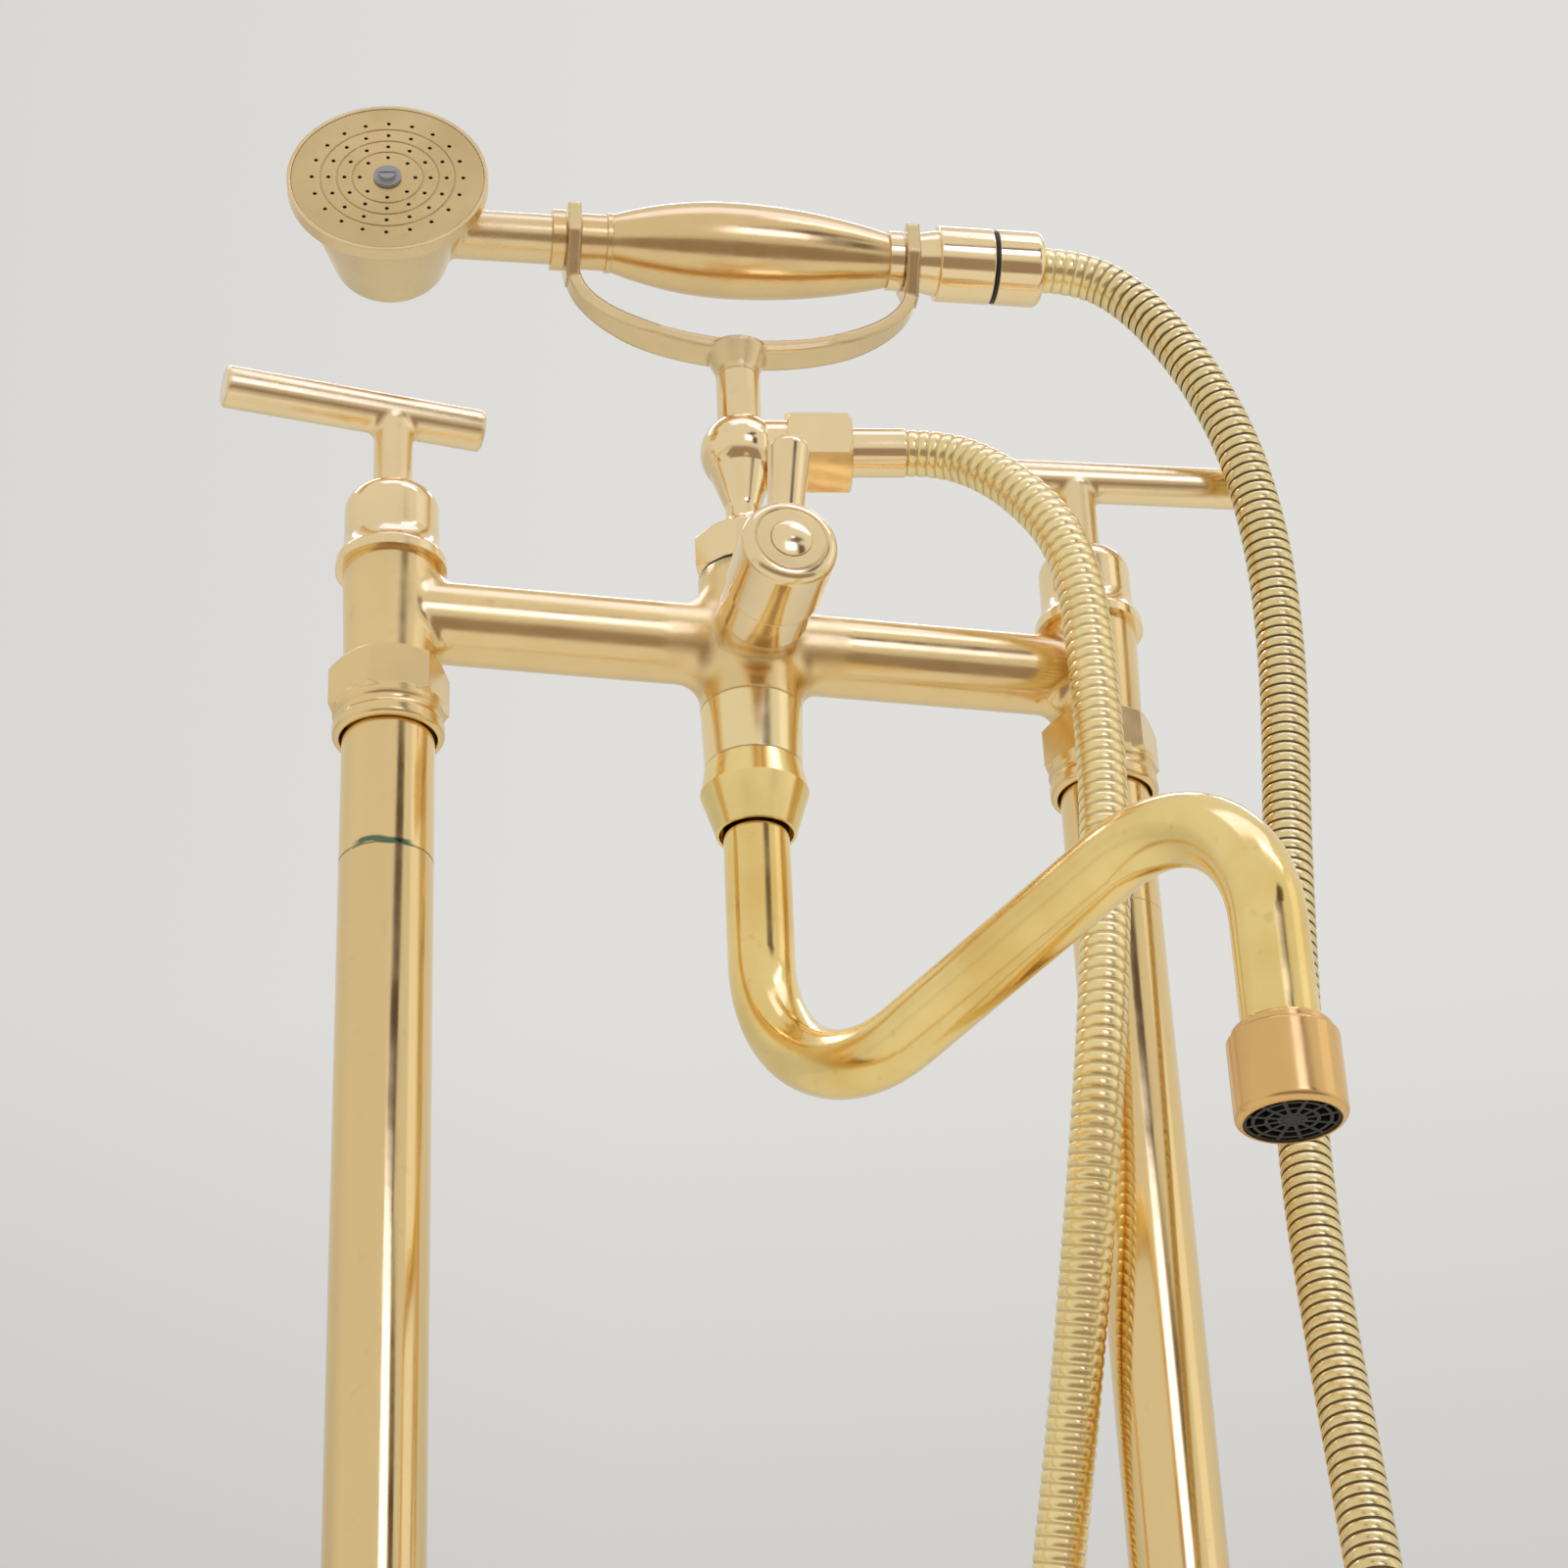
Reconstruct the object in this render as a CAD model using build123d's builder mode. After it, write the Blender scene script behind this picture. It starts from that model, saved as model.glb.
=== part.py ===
from build123d import *
import math
import os

os.makedirs("parts", exist_ok=True)

# Bath shower mixer on two floor-standing legs, in millimetres.
# X runs along the bridge, the user stands on the -Y side, and Z = 0 is the finished floor.

# Layout
leg_spacing = 200.0
bar_height = 850.0

# Gaps
fit_gap = 0.1
running_gap = 0.05
free_gap = 0.4
cut_over = 1.0

# Floor plates
plate_radius = 40.0
plate_thickness = 5.0
plate_edge_round = 1.5
plate_cone_radius = 23.0
plate_cone_height = 11.0
socket_radius = 17.0
socket_height = 34.0
socket_chamfer = 1.0
inlet_radius = 9.3
inlet_length = 18.0
screw_circle_radius = 31.0
screw_hole_radius = 2.75
screw_sink_radius = 5.2
screw_sink_angle = 90.0
screw_hole_count = 4
screw_first_angle = 45.0

# Legs
leg_radius = 12.5
leg_bore_radius = 11.0
leg_seam_drop = 77.4
leg_spigot_length = 20.0
leg_tail_bore_radius = 9.0
foot_seal_thickness = 2.0
foot_seal_height = 24.0
leg_screw_radius = 2.5
leg_screw_height = 29.0
leg_screw_socket_radius = 1.25
leg_screw_socket_depth = 2.0

# Union between a leg and the bridge
union_stub_radius = 13.15
union_stub_top = -18.5
union_stub_end = -27.2
union_gasket_thickness = 1.4
union_hex_top = -17.0
union_hex_bottom = -31.0
union_hex_flats = 28.6
union_hex_chamfer = 1.6
union_hex_turn = -3.0
union_skirt_bottom = -39.2
union_skirt_radius = 15.1
union_skirt_round = 1.6
union_waist_height = -33.7
union_waist_round = 2.6
union_waist_depth = 0.8
union_lip_bore_radius = 12.65
union_mouth_radius = 13.3
union_mouth_depth = 1.4
tail_collar_radius = 13.1
tail_collar_height = 2.4

# Bridge casting
bar_radius = 11.4
bar_bore_radius = 6.5
tee_top_radius = 13.3
tee_foot_radius = 12.3
tee_top = 15.0
tee_bore_radius = 10.2
tee_seat = -9.0
tee_inlet_radius = 7.0
tee_fillet = 6.0
fillet_run_out = 12.0
centre_radius = 14.1
centre_waist = -20.5
centre_seam_width = 0.5
centre_seam_depth = 0.35
centre_foot = -39.0
centre_foot_radius = 13.4
centre_top = 22.8
centre_top_radius = 13.5
centre_fillet = 8.0
boss_radius = 11.7
boss_front = 20.0
boss_flare_front = 19.2
boss_flare_back = 6.0
boss_flare_radius = 18.0
diverter_bore_radius = 9.0
diverter_bore_back = 10.0
spout_thread_radius = 11.2
spout_thread_end = -49.0
spout_bore_top = -21.5
riser_thread_radius = 10.0
riser_thread_top = 33.0

# Ceramic valve in each tee
valve_seal_thickness = 1.5
valve_disc_radius = 8.4
valve_disc_thickness = 2.8
valve_port_radius = 2.0
valve_port_offset = 4.6
disc_gap = 0.02
cartridge_bore_radius = 8.6
cartridge_bore_top = 6.5
cartridge_window_radius = 2.4
cartridge_window_height = 3.0
cartridge_head_radius = 11.2
cartridge_head_top = 22.0
cartridge_neck_radius = 6.5
cartridge_neck_top = 29.0
spindle_radius = 4.0
spindle_foot_radius = 7.4
spindle_foot_height = 2.0
spindle_shoulder = 45.0
spindle_tip_radius = 3.4
spindle_tip = 60.0

# Bell caps
cap_radius = 13.1
cap_top = 41.2
cap_dome_round = 6.5
cap_wall = 1.6
cap_crown = 3.6
cap_flange_radius = 15.3
cap_flange_top = 18.0
cap_flange_round = 1.2
cap_flare_top = 24.5
cap_flare_radius = 12.0
cap_hole_radius = 4.6

# T handles
handle_height = 68.5
handle_bar_radius = 6.0
handle_long_arm = 48.5
handle_short_arm = 25.5
handle_stem_radius = 5.4
handle_end_chamfer = 0.6
handle_fillet = 3.5
handle_left_yaw = 7.4
handle_right_yaw = -5.0
handle_screw_radius = 2.0
handle_screw_height = 52.0
handle_screw_socket_radius = 1.0
handle_screw_socket_depth = 1.0

# Diverter, along -Y from the bridge axis
rotor_back = 9.5
rotor_front = 9.0
rotor_port_radius = 3.0
rotor_port_offset = 5.0
diverter_spindle_radius = 4.5
diverter_spindle_end = 32.0
diverter_tip_radius = 3.8
diverter_tip_end = 46.0
diverter_groove_radius = 3.7
diverter_seal_thickness = 0.82
diverter_seal_places = (17.0, 27.0)
bonnet_back = 12.5
bonnet_front = 31.9
bonnet_thread_radius = 8.9
bonnet_radius = 12.5
bonnet_edge_round = 0.6
knob_back = 32.3
knob_front = 55.0
knob_radius = 13.3
knob_back_round = 0.7
knob_round = 3.4
knob_groove_radius = 9.7
knob_groove_width = 0.6
knob_groove_depth = 0.4
knob_pocket_radius = 5.6
knob_pocket_depth = 4.6
knob_cap_radius = 5.5
knob_cap_thickness = 1.2
knob_cap_rise = 0.3
knob_cap_dome = 0.9
knob_screw_radius = 2.4
knob_screw_length = 10.0
knob_screw_head_radius = 4.2
knob_screw_head_height = 3.0
knob_screw_socket_radius = 2.0
knob_screw_socket_depth = 2.0
lever_tilt = 5.0
lever_station = 44.0
lever_foot_radius = 4.7
lever_top_radius = 6.0
lever_foot = 9.0
lever_top = 40.0
lever_top_round = 3.4
lever_spigot_radius = 2.5
lever_spigot_start = 6.0

# Spout
spout_turn = 28.0
spout_radius = 9.0
spout_wall = 1.5
spout_reach = 174.5
spout_low_corner = -154.0
spout_high_corner = -117.2
spout_low_bend = 45.0
spout_high_bend = 37.5
spout_end = -203.0
spout_shank_top = -22.0
spout_shank_bore_radius = 6.6
spout_shank_end = -56.0
spout_collar_radius = 10.9
spout_collar_thickness = 2.2
slip_ring_thickness = 1.2
spout_nut_gap = 0.2
spout_nut_belly = -47.2
spout_nut_belly_radius = 14.9
spout_nut_bottom = -59.8
spout_nut_bottom_radius = 10.9
spout_nut_mouth_radius = 10.1
spout_groove_radius = 7.9
spout_seal_thickness = 1.12
spout_seal_heights = (-28.0, -36.0)
housing_top = -193.3
housing_bottom = -214.0
housing_radius = 12.75
housing_neck_radius = 11.4
housing_neck_height = 2.4
housing_top_chamfer = 0.8
housing_bottom_round = 2.2
housing_bore_radius = 11.0
housing_thread_height = 11.0
aerator_radius = 10.9
aerator_height = 7.5
aerator_recess = 0.6
aerator_ring_radii = (8.7, 5.8, 2.9)
aerator_ring_width = 0.8
aerator_spoke_count = 12
aerator_spoke_width = 0.9
aerator_grid_depth = 1.6
aerator_bore_radius = 6.0

# Riser column and shower outlet
riser_nut_bottom = 24.0
riser_nut_top = 36.0
riser_nut_flats = 25.8
riser_nut_chamfer = 1.4
riser_nut_turn = 8.0
riser_washer_radius = 12.9
riser_gasket_thickness = 1.4
riser_foot_height = 3.2
riser_recess_radius = 8.2
riser_recess_depth = 1.6
riser_neck_radius = 8.5
riser_neck_top = 36.8
riser_waist_radius = 5.0
riser_waist_bottom = 42.5
riser_waist_top = 47.5
riser_waist_round = 5.0
ball_cup_radius = 9.2
ball_cup_height = 60.0
ball_height = 67.0
ball_radius = 11.7
post_radius = 6.4
post_top = 93.5
post_spigot_radius = 4.0
post_spigot_length = 6.0
riser_bore_radius = 3.5
outlet_yaw = -9.0
outlet_height = 67.5
outlet_radius = 9.3
outlet_nipple_end = 26.0
hose_nut_start = 12.8
hose_nut_end = 31.5
hose_nut_flats = 22.8
hose_nut_chamfer = 1.3
hose_nut_turn = 35.0
hose_nut_lip_height = 2.0
hose_washer_thickness = 1.2
ferrule_radius = 7.15
ferrule_end = 47.5
ferrule_end_round = 0.6

# Cradle fork
cradle_yaw = -4.0
cradle_left = -48.0
cradle_right = 53.0
cradle_end_thickness = 3.8
cradle_spring_drop = 11.3
cradle_bow_drop = 40.6
cradle_bow_thickness = 4.3
cradle_bow_width = 10.6
cradle_end_width = 5.2
cradle_taper_start = 24.0
cradle_bow_edge_round = 1.2
cradle_hub_flare_radius = 9.4
cradle_hub_waist_drop = 45.8
yoke_gap = 0.4
yoke_wall = 3.0
yoke_prong_rise = 6.9
yoke_prong_round = 1.4
yoke_root_drop = 15.3

# Hand shower, along its own axis from the riser axis
handset_height = 141.3
cradle_spring_height = handset_height - cradle_spring_drop
cradle_bow_bottom = handset_height - cradle_bow_drop
cradle_hub_waist_height = handset_height - cradle_hub_waist_drop
head_station = -101.6
head_yaw_extra = -5.0
head_tilt = 5.0
head_face = 21.5
head_rim_radius = 29.0
head_rim_height = 4.8
head_rim_wall = 1.1
head_rim_round = 0.8
head_rim_recess = 0.15
bowl_shoulder_depth = 6.0
bowl_shoulder_radius = 25.0
bowl_back_radius = 15.4
bowl_depth = 38.6
bowl_back_round = 7.0
bowl_wall = 2.0
neck_radius = 7.35
neck_bore_radius = 5.2
neck_fillet = 2.5
ring_left_radius = 9.0
ring_left_start = -54.2
groove_radius = 7.3
collar_left_radius = 8.3
grip_start = -38.0
grip_end = 46.5
grip_start_radius = 8.5
grip_belly_radius = 14.35
grip_belly_station = -1.0
grip_end_radius = 8.1
grip_bead_radius = 8.9
grip_bead_length = 1.6
tube_radius = 6.4
tube_bore_radius = 4.6
ring_right_radius = 8.9
stop_radius = 8.7
stop_foot_radius = 9.9
stop_end = 61.3
tail_thread_radius = 8.9
tail_thread_end = 68.0
tail_spigot_length = 8.0
connector_end = 78.0
connector_radius = 11.35
connector_edge_round = 0.6
connector_wall = 5.0
connector_washer_thickness = 1.2
swivel_seal_width = 1.0
swivel_seal_radius = 10.9
sleeve_start = 79.3
sleeve_end = 93.3
sleeve_end_round = 2.4
sleeve_spigot_radius = 6.4
sleeve_spigot_start = 71.0

# Rose plate
rose_thickness = 1.6
rose_hole_radius = 0.6
rose_hole_circles = ((8, 8.0), (12, 12.4), (16, 17.0), (20, 21.8))
rose_groove_radii = (10.2, 14.7, 19.4)
rose_groove_width = 0.5
rose_groove_depth = 0.3
rose_gasket_thickness = 1.0
rose_gasket_width = 2.0
rose_washer_radius = 4.0
rose_washer_thickness = 0.9
rose_screw_radius = 1.5
rose_screw_length = 9.0
rose_screw_head_radius = 2.4
rose_screw_head_height = 1.2
rose_screw_slot_width = 0.6
rose_screw_slot_depth = 0.6
rose_post_radius = 3.4

# Shower hose
hose_radius = 6.75
hose_valley_radius = 6.1
hose_bore_radius = 5.0
liner_radius = 4.8
liner_bore_radius = 3.6
hose_rib_count = 200
hose_corner_share = 0.45
hose_rib_shares = (0.04, 0.14, 0.86, 0.96)

# The hose's route, above the floor, from the outlet ferrule to the hand shower's swivel sleeve
hose_route = [
    (47.01, -7.45, 917.5),
    (71.3, -11.3, 917.5),
    (92.0, -18.0, 905.2),
    (99.6, -25.0, 882.0),
    (97.5, -28.5, 851.0),
    (92.0, -27.0, 810.0),
    (89.5, -25.5, 765.0),
    (83.5, -24.0, 715.0),
    (79.0, -10.0, 667.0),
    (75.5, 10.0, 620.0),
    (70.0, 24.0, 562.0),
    (66.5, 31.0, 490.0),
    (64.5, 33.0, 417.0),
    (62.0, 28.0, 355.0),
    (62.5, 12.0, 311.0),
    (67.5, -15.0, 284.0),
    (77.0, -43.0, 278.0),
    (92.0, -67.0, 291.0),
    (105.5, -82.0, 326.0),
    (114.5, -88.0, 385.0),
    (118.0, -86.0, 455.0),
    (121.0, -78.5, 525.0),
    (123.5, -66.0, 580.0),
    (126.5, -51.0, 635.0),
    (130.5, -38.0, 690.0),
    (138.0, -27.5, 745.0),
    (145.0, -21.0, 800.0),
    (151.0, -19.5, 855.0),
    (155.0, -19.5, 905.0),
    (154.5, -16.5, 945.0),
    (143.5, -11.8, 975.0),
    (118.31, -8.27, 991.3),
    (93.37, -6.53, 991.3),
]


def level(height, x=0.0, yaw=0.0):
    """A level plane at a height above or below the bridge axis, over the point x on it."""
    turn_x = (math.cos(math.radians(yaw)), math.sin(math.radians(yaw)), 0)
    return Plane(origin=(x, 0, bar_height + height), x_dir=turn_x, z_dir=(0, 0, 1))


def along(yaw, height, station=0.0):
    """A plane square to a level line through the riser axis, facing along the line, its Y up."""
    line = Vector(math.cos(math.radians(yaw)), math.sin(math.radians(yaw)), 0)
    start = Vector(0, 0, bar_height + height) + line * station
    return Plane(origin=start, x_dir=line.cross(Vector(0, 0, -1)), z_dir=line)


def turn(outline, frame, mode=Mode.ADD, rounds=()):
    """Turns an outline of (radius, height) points about a frame's Z axis, in the open part.

    Each of the rounds is a corner of the outline and the radius that it is rounded to."""
    side = Plane(origin=frame.origin, x_dir=frame.x_dir, z_dir=-frame.y_dir)
    with BuildSketch(side) as half:
        with BuildLine():
            Polyline(*outline, close=True)
        make_face()
        for corner, round_radius in rounds:
            fillet(half.vertices().sort_by_distance(corner)[0], round_radius)
    revolve(half.sketch, axis=Axis(frame.origin, frame.z_dir), mode=mode)


def rod(frame, radius, start, end, mode=Mode.ADD):
    """A round bar, or with Mode.SUBTRACT a hole, along a frame's Z axis from start to end."""
    with Locations(frame.offset(start)):
        Cylinder(radius, end - start, align=(Align.CENTER, Align.CENTER, Align.MIN), mode=mode)


def ring(frame, outer_radius, inner_radius, start, end):
    """A flat washer along a frame's Z axis from start to end."""
    rod(frame, outer_radius, start, end)
    rod(frame, inner_radius, start - cut_over, end + cut_over, Mode.SUBTRACT)


def o_ring(frame, inner_radius, thickness, height):
    """A round-section ring whose middle lies at a height along a frame's Z axis."""
    with Locations(frame.offset(height)):
        Torus(inner_radius + thickness / 2, thickness / 2)


def hexagon_bar(frame, flats, start, end, chamfer_height, turn_angle=0.0):
    """A six-sided nut blank with both ends turned to a cone at the corners."""
    corner = flats / math.sqrt(3)
    with BuildSketch(frame.offset(start)) as six:
        RegularPolygon(corner, 6, rotation=turn_angle)
    extrude(six.sketch, amount=end - start)
    turn(
        [
            (0, start),
            (flats / 2, start),
            (corner, start + chamfer_height),
            (corner, end - chamfer_height),
            (flats / 2, end),
            (0, end),
        ],
        frame,
        Mode.INTERSECT,
    )


def rounded_edges(part, height, radius_at_least):
    """The circles of a part at one height that are at least so large."""
    circles = part.edges().filter_by(GeomType.CIRCLE)
    return [e for e in circles
            if abs(e.center().Z - bar_height - height) < fit_gap and e.radius >= radius_at_least]


def save(part, name):
    """Labels one finished piece and writes it under its own name."""
    part.label = name
    export_step(part, "parts/" + name + ".step")


# Floor plates, legs, unions, valves, caps and handles: one of each for a side
sides = (("left", -1, handle_left_yaw + 180), ("right", 1, handle_right_yaw))
for side_name, side, handle_yaw in sides:
    leg_x = side * leg_spacing / 2
    foot_frame = Plane(origin=(leg_x, 0, 0))
    valve_frame = level(0, leg_x)

    with BuildPart() as floor_plate:
        turn(
            [
                (0, 0),
                (plate_radius, 0),
                (plate_radius, plate_thickness),
                (plate_cone_radius, plate_thickness),
                (socket_radius, plate_thickness + plate_cone_height),
                (socket_radius, socket_height),
                (0, socket_height),
            ],
            foot_frame,
        )
        rim = floor_plate.edges().filter_by(GeomType.CIRCLE).group_by(SortBy.RADIUS)[-1]
        fillet(rim.sort_by(Axis.Z)[-1], plate_edge_round)
        chamfer(floor_plate.edges().filter_by(GeomType.CIRCLE).sort_by(Axis.Z)[-1], socket_chamfer)
        rod(foot_frame, inlet_radius, -cut_over, inlet_length + cut_over, Mode.SUBTRACT)
        rod(foot_frame, leg_radius + fit_gap, inlet_length, socket_height + cut_over, Mode.SUBTRACT)
        with Locations(foot_frame.offset(foot_seal_height)):
            Torus(leg_radius + foot_seal_thickness / 2, foot_seal_thickness / 2 + fit_gap,
                  mode=Mode.SUBTRACT)
        with Locations(foot_frame.offset(plate_thickness)):
            with PolarLocations(screw_circle_radius, screw_hole_count, screw_first_angle):
                CounterSinkHole(screw_hole_radius, screw_sink_radius,
                                counter_sink_angle=screw_sink_angle)
        with Locations(Plane(origin=(leg_x, 0, leg_screw_height), z_dir=(0, 1, 0))):
            Cylinder(leg_screw_radius + running_gap, socket_radius + cut_over,
                     align=(Align.CENTER, Align.CENTER, Align.MIN), mode=Mode.SUBTRACT)
    save(floor_plate.part, "floor_plate_" + side_name)

    with BuildPart() as leg_tube:
        ring(foot_frame, leg_radius, leg_bore_radius, inlet_length, bar_height - leg_seam_drop)
    save(leg_tube.part, "leg_tube_" + side_name)

    tail_top = union_stub_end - union_gasket_thickness
    nut_shoulder = tail_top - tail_collar_height
    with BuildPart() as union_tail:
        turn(
            [
                (leg_tail_bore_radius, -leg_seam_drop - leg_spigot_length),
                (leg_bore_radius - running_gap, -leg_seam_drop - leg_spigot_length),
                (leg_bore_radius - running_gap, -leg_seam_drop),
                (leg_radius, -leg_seam_drop),
                (leg_radius, nut_shoulder),
                (tail_collar_radius, nut_shoulder),
                (tail_collar_radius, tail_top),
                (leg_tail_bore_radius, tail_top),
            ],
            valve_frame,
        )
    save(union_tail.part, "union_tail_" + side_name)

    with BuildPart() as union_nut:
        hexagon_bar(valve_frame, union_hex_flats, union_hex_bottom, union_hex_top,
                    union_hex_chamfer, union_hex_turn * side)
        rod(valve_frame, union_skirt_radius, union_skirt_bottom, union_hex_bottom + union_hex_chamfer)
        fillet(rounded_edges(union_nut, union_skirt_bottom, union_skirt_radius), union_skirt_round)
        with Locations(valve_frame.offset(union_waist_height)):
            Torus(union_skirt_radius + union_waist_round - union_waist_depth, union_waist_round,
                  mode=Mode.SUBTRACT)
        rod(valve_frame, union_stub_radius + fit_gap, nut_shoulder, 0, Mode.SUBTRACT)
        rod(valve_frame, union_lip_bore_radius, union_skirt_bottom - cut_over, nut_shoulder + cut_over,
            Mode.SUBTRACT)
        turn(
            [
                (0, union_skirt_bottom),
                (union_mouth_radius, union_skirt_bottom),
                (union_lip_bore_radius, union_skirt_bottom + union_mouth_depth),
                (0, union_skirt_bottom + union_mouth_depth),
            ],
            valve_frame,
            Mode.SUBTRACT,
        )
    save(union_nut.part, "union_nut_" + side_name)

    disc_floor = tee_seat + valve_seal_thickness
    disc_meeting = disc_floor + valve_disc_thickness
    disc_top = disc_meeting + disc_gap + valve_disc_thickness
    with BuildPart() as cartridge:
        turn(
            [
                (cartridge_bore_radius, disc_floor),
                (tee_bore_radius - fit_gap, disc_floor),
                (tee_bore_radius - fit_gap, tee_top),
                (cartridge_head_radius, tee_top),
                (cartridge_head_radius, cartridge_head_top),
                (cartridge_neck_radius, cartridge_head_top),
                (cartridge_neck_radius, cartridge_neck_top),
                (spindle_radius + running_gap, cartridge_neck_top),
                (spindle_radius + running_gap, cartridge_bore_top),
                (cartridge_bore_radius, cartridge_bore_top),
            ],
            valve_frame,
        )
        window = Plane(origin=(leg_x, 0, bar_height + cartridge_window_height), z_dir=(1, 0, 0))
        rod(window, cartridge_window_radius, -tee_bore_radius, tee_bore_radius, Mode.SUBTRACT)
    save(cartridge.part, "cartridge_" + side_name)

    with BuildPart() as rotating_disc:
        rod(valve_frame, valve_disc_radius, disc_meeting + disc_gap, disc_top)
        with Locations(valve_frame.offset(disc_meeting)):
            with PolarLocations(valve_port_offset, 2):
                Cylinder(valve_port_radius, disc_top - tee_seat, mode=Mode.SUBTRACT)
    save(rotating_disc.part, "rotating_disc_" + side_name)

    with BuildPart() as spindle:
        turn(
            [
                (0, disc_top),
                (spindle_foot_radius, disc_top),
                (spindle_foot_radius, disc_top + spindle_foot_height),
                (spindle_radius, disc_top + spindle_foot_height),
                (spindle_radius, spindle_shoulder),
                (spindle_tip_radius, spindle_shoulder),
                (spindle_tip_radius, spindle_tip),
                (0, spindle_tip),
            ],
            valve_frame,
        )
    save(spindle.part, "spindle_" + side_name)

    with BuildPart() as bell_cap:
        with BuildSketch(Plane(origin=valve_frame.origin, x_dir=(1, 0, 0), z_dir=(0, -1, 0))) as cap_side:
            with BuildLine():
                Polyline((0, tee_top), (cap_flange_radius, tee_top), (cap_flange_radius, cap_flange_top))
                RadiusArc((cap_flange_radius, cap_flange_top), (cap_radius, cap_flare_top),
                          cap_flare_radius)
                Polyline((cap_radius, cap_flare_top), (cap_radius, cap_top), (0, cap_top), (0, tee_top))
            make_face()
            fillet(cap_side.vertices().sort_by_distance((cap_radius, cap_top))[0], cap_dome_round)
            fillet(cap_side.vertices().sort_by_distance((cap_flange_radius, cap_flange_top))[0],
                   cap_flange_round)
        revolve(cap_side.sketch, axis=Axis(valve_frame.origin, (0, 0, 1)))
        rod(valve_frame, cap_radius - cap_wall, tee_top - cut_over, cap_top - cap_dome_round,
            Mode.SUBTRACT)
        rod(valve_frame, cap_radius - cap_dome_round, tee_top - cut_over, cap_top - cap_crown,
            Mode.SUBTRACT)
        rod(valve_frame, cap_hole_radius, 0, cap_top + cut_over, Mode.SUBTRACT)
    save(bell_cap.part, "bell_cap_" + side_name)

    stem_foot = cap_top + free_gap
    handle_frame = level(0, leg_x, handle_yaw)
    arm_plane = Plane(origin=(leg_x, 0, bar_height + handle_height), z_dir=handle_frame.x_dir)
    screw_plane = Plane(origin=(leg_x, 0, bar_height + handle_screw_height), z_dir=(0, 1, 0))
    with BuildPart() as handle:
        rod(arm_plane, handle_bar_radius, -handle_short_arm, handle_long_arm)
        rod(handle_frame, handle_stem_radius, stem_foot, handle_height)
        fillet(handle.edges().filter_by(GeomType.BSPLINE), handle_fillet)
        ends = handle.edges().filter_by(GeomType.CIRCLE).filter_by(lambda e: e.radius > handle_stem_radius)
        chamfer(ends, handle_end_chamfer)
        rod(handle_frame, spindle_radius + running_gap, 0, spindle_shoulder, Mode.SUBTRACT)
        rod(handle_frame, spindle_tip_radius + running_gap, 0, spindle_tip, Mode.SUBTRACT)
        rod(screw_plane, handle_screw_radius + running_gap, 0, handle_bar_radius, Mode.SUBTRACT)
    save(handle.part, "handle_" + side_name)

    with BuildPart() as handle_screw:
        rod(screw_plane, handle_screw_radius, spindle_tip_radius + running_gap, handle_stem_radius)
        rod(screw_plane, handle_screw_socket_radius, handle_stem_radius - handle_screw_socket_depth,
            handle_stem_radius + cut_over, Mode.SUBTRACT)
    save(handle_screw.part, "handle_screw_" + side_name)

# Small pieces that both sides share, each as one group
valve_frames = [level(0, side * leg_spacing / 2) for side in (-1, 1)]
foot_frames = [Plane(origin=(side * leg_spacing / 2, 0, 0)) for side in (-1, 1)]

with BuildPart() as foot_seals:
    for frame in foot_frames:
        o_ring(frame, leg_radius + running_gap, foot_seal_thickness, foot_seal_height)
save(foot_seals.part, "foot_seals")

with BuildPart() as leg_screws:
    for frame in foot_frames:
        inward = Plane(origin=frame.origin + Vector(0, 0, leg_screw_height), z_dir=(0, 1, 0))
        rod(inward, leg_screw_radius, leg_radius + running_gap, socket_radius)
        rod(inward, leg_screw_socket_radius, socket_radius - leg_screw_socket_depth,
            socket_radius + cut_over, Mode.SUBTRACT)
save(leg_screws.part, "leg_screws")

with BuildPart() as union_gaskets:
    for frame in valve_frames:
        ring(frame, tail_collar_radius, tee_inlet_radius,
             union_stub_end - union_gasket_thickness, union_stub_end)
save(union_gaskets.part, "union_gaskets")

with BuildPart() as valve_seals:
    for frame in valve_frames:
        ring(frame, tee_bore_radius - fit_gap, tee_inlet_radius, tee_seat, disc_floor)
save(valve_seals.part, "valve_seals")

with BuildPart() as fixed_discs:
    for frame in valve_frames:
        rod(frame, valve_disc_radius, disc_floor, disc_meeting)
        with Locations(frame.offset(disc_meeting)):
            with PolarLocations(valve_port_offset, 2):
                Cylinder(valve_port_radius, disc_top - tee_seat, mode=Mode.SUBTRACT)
save(fixed_discs.part, "fixed_discs")

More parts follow.
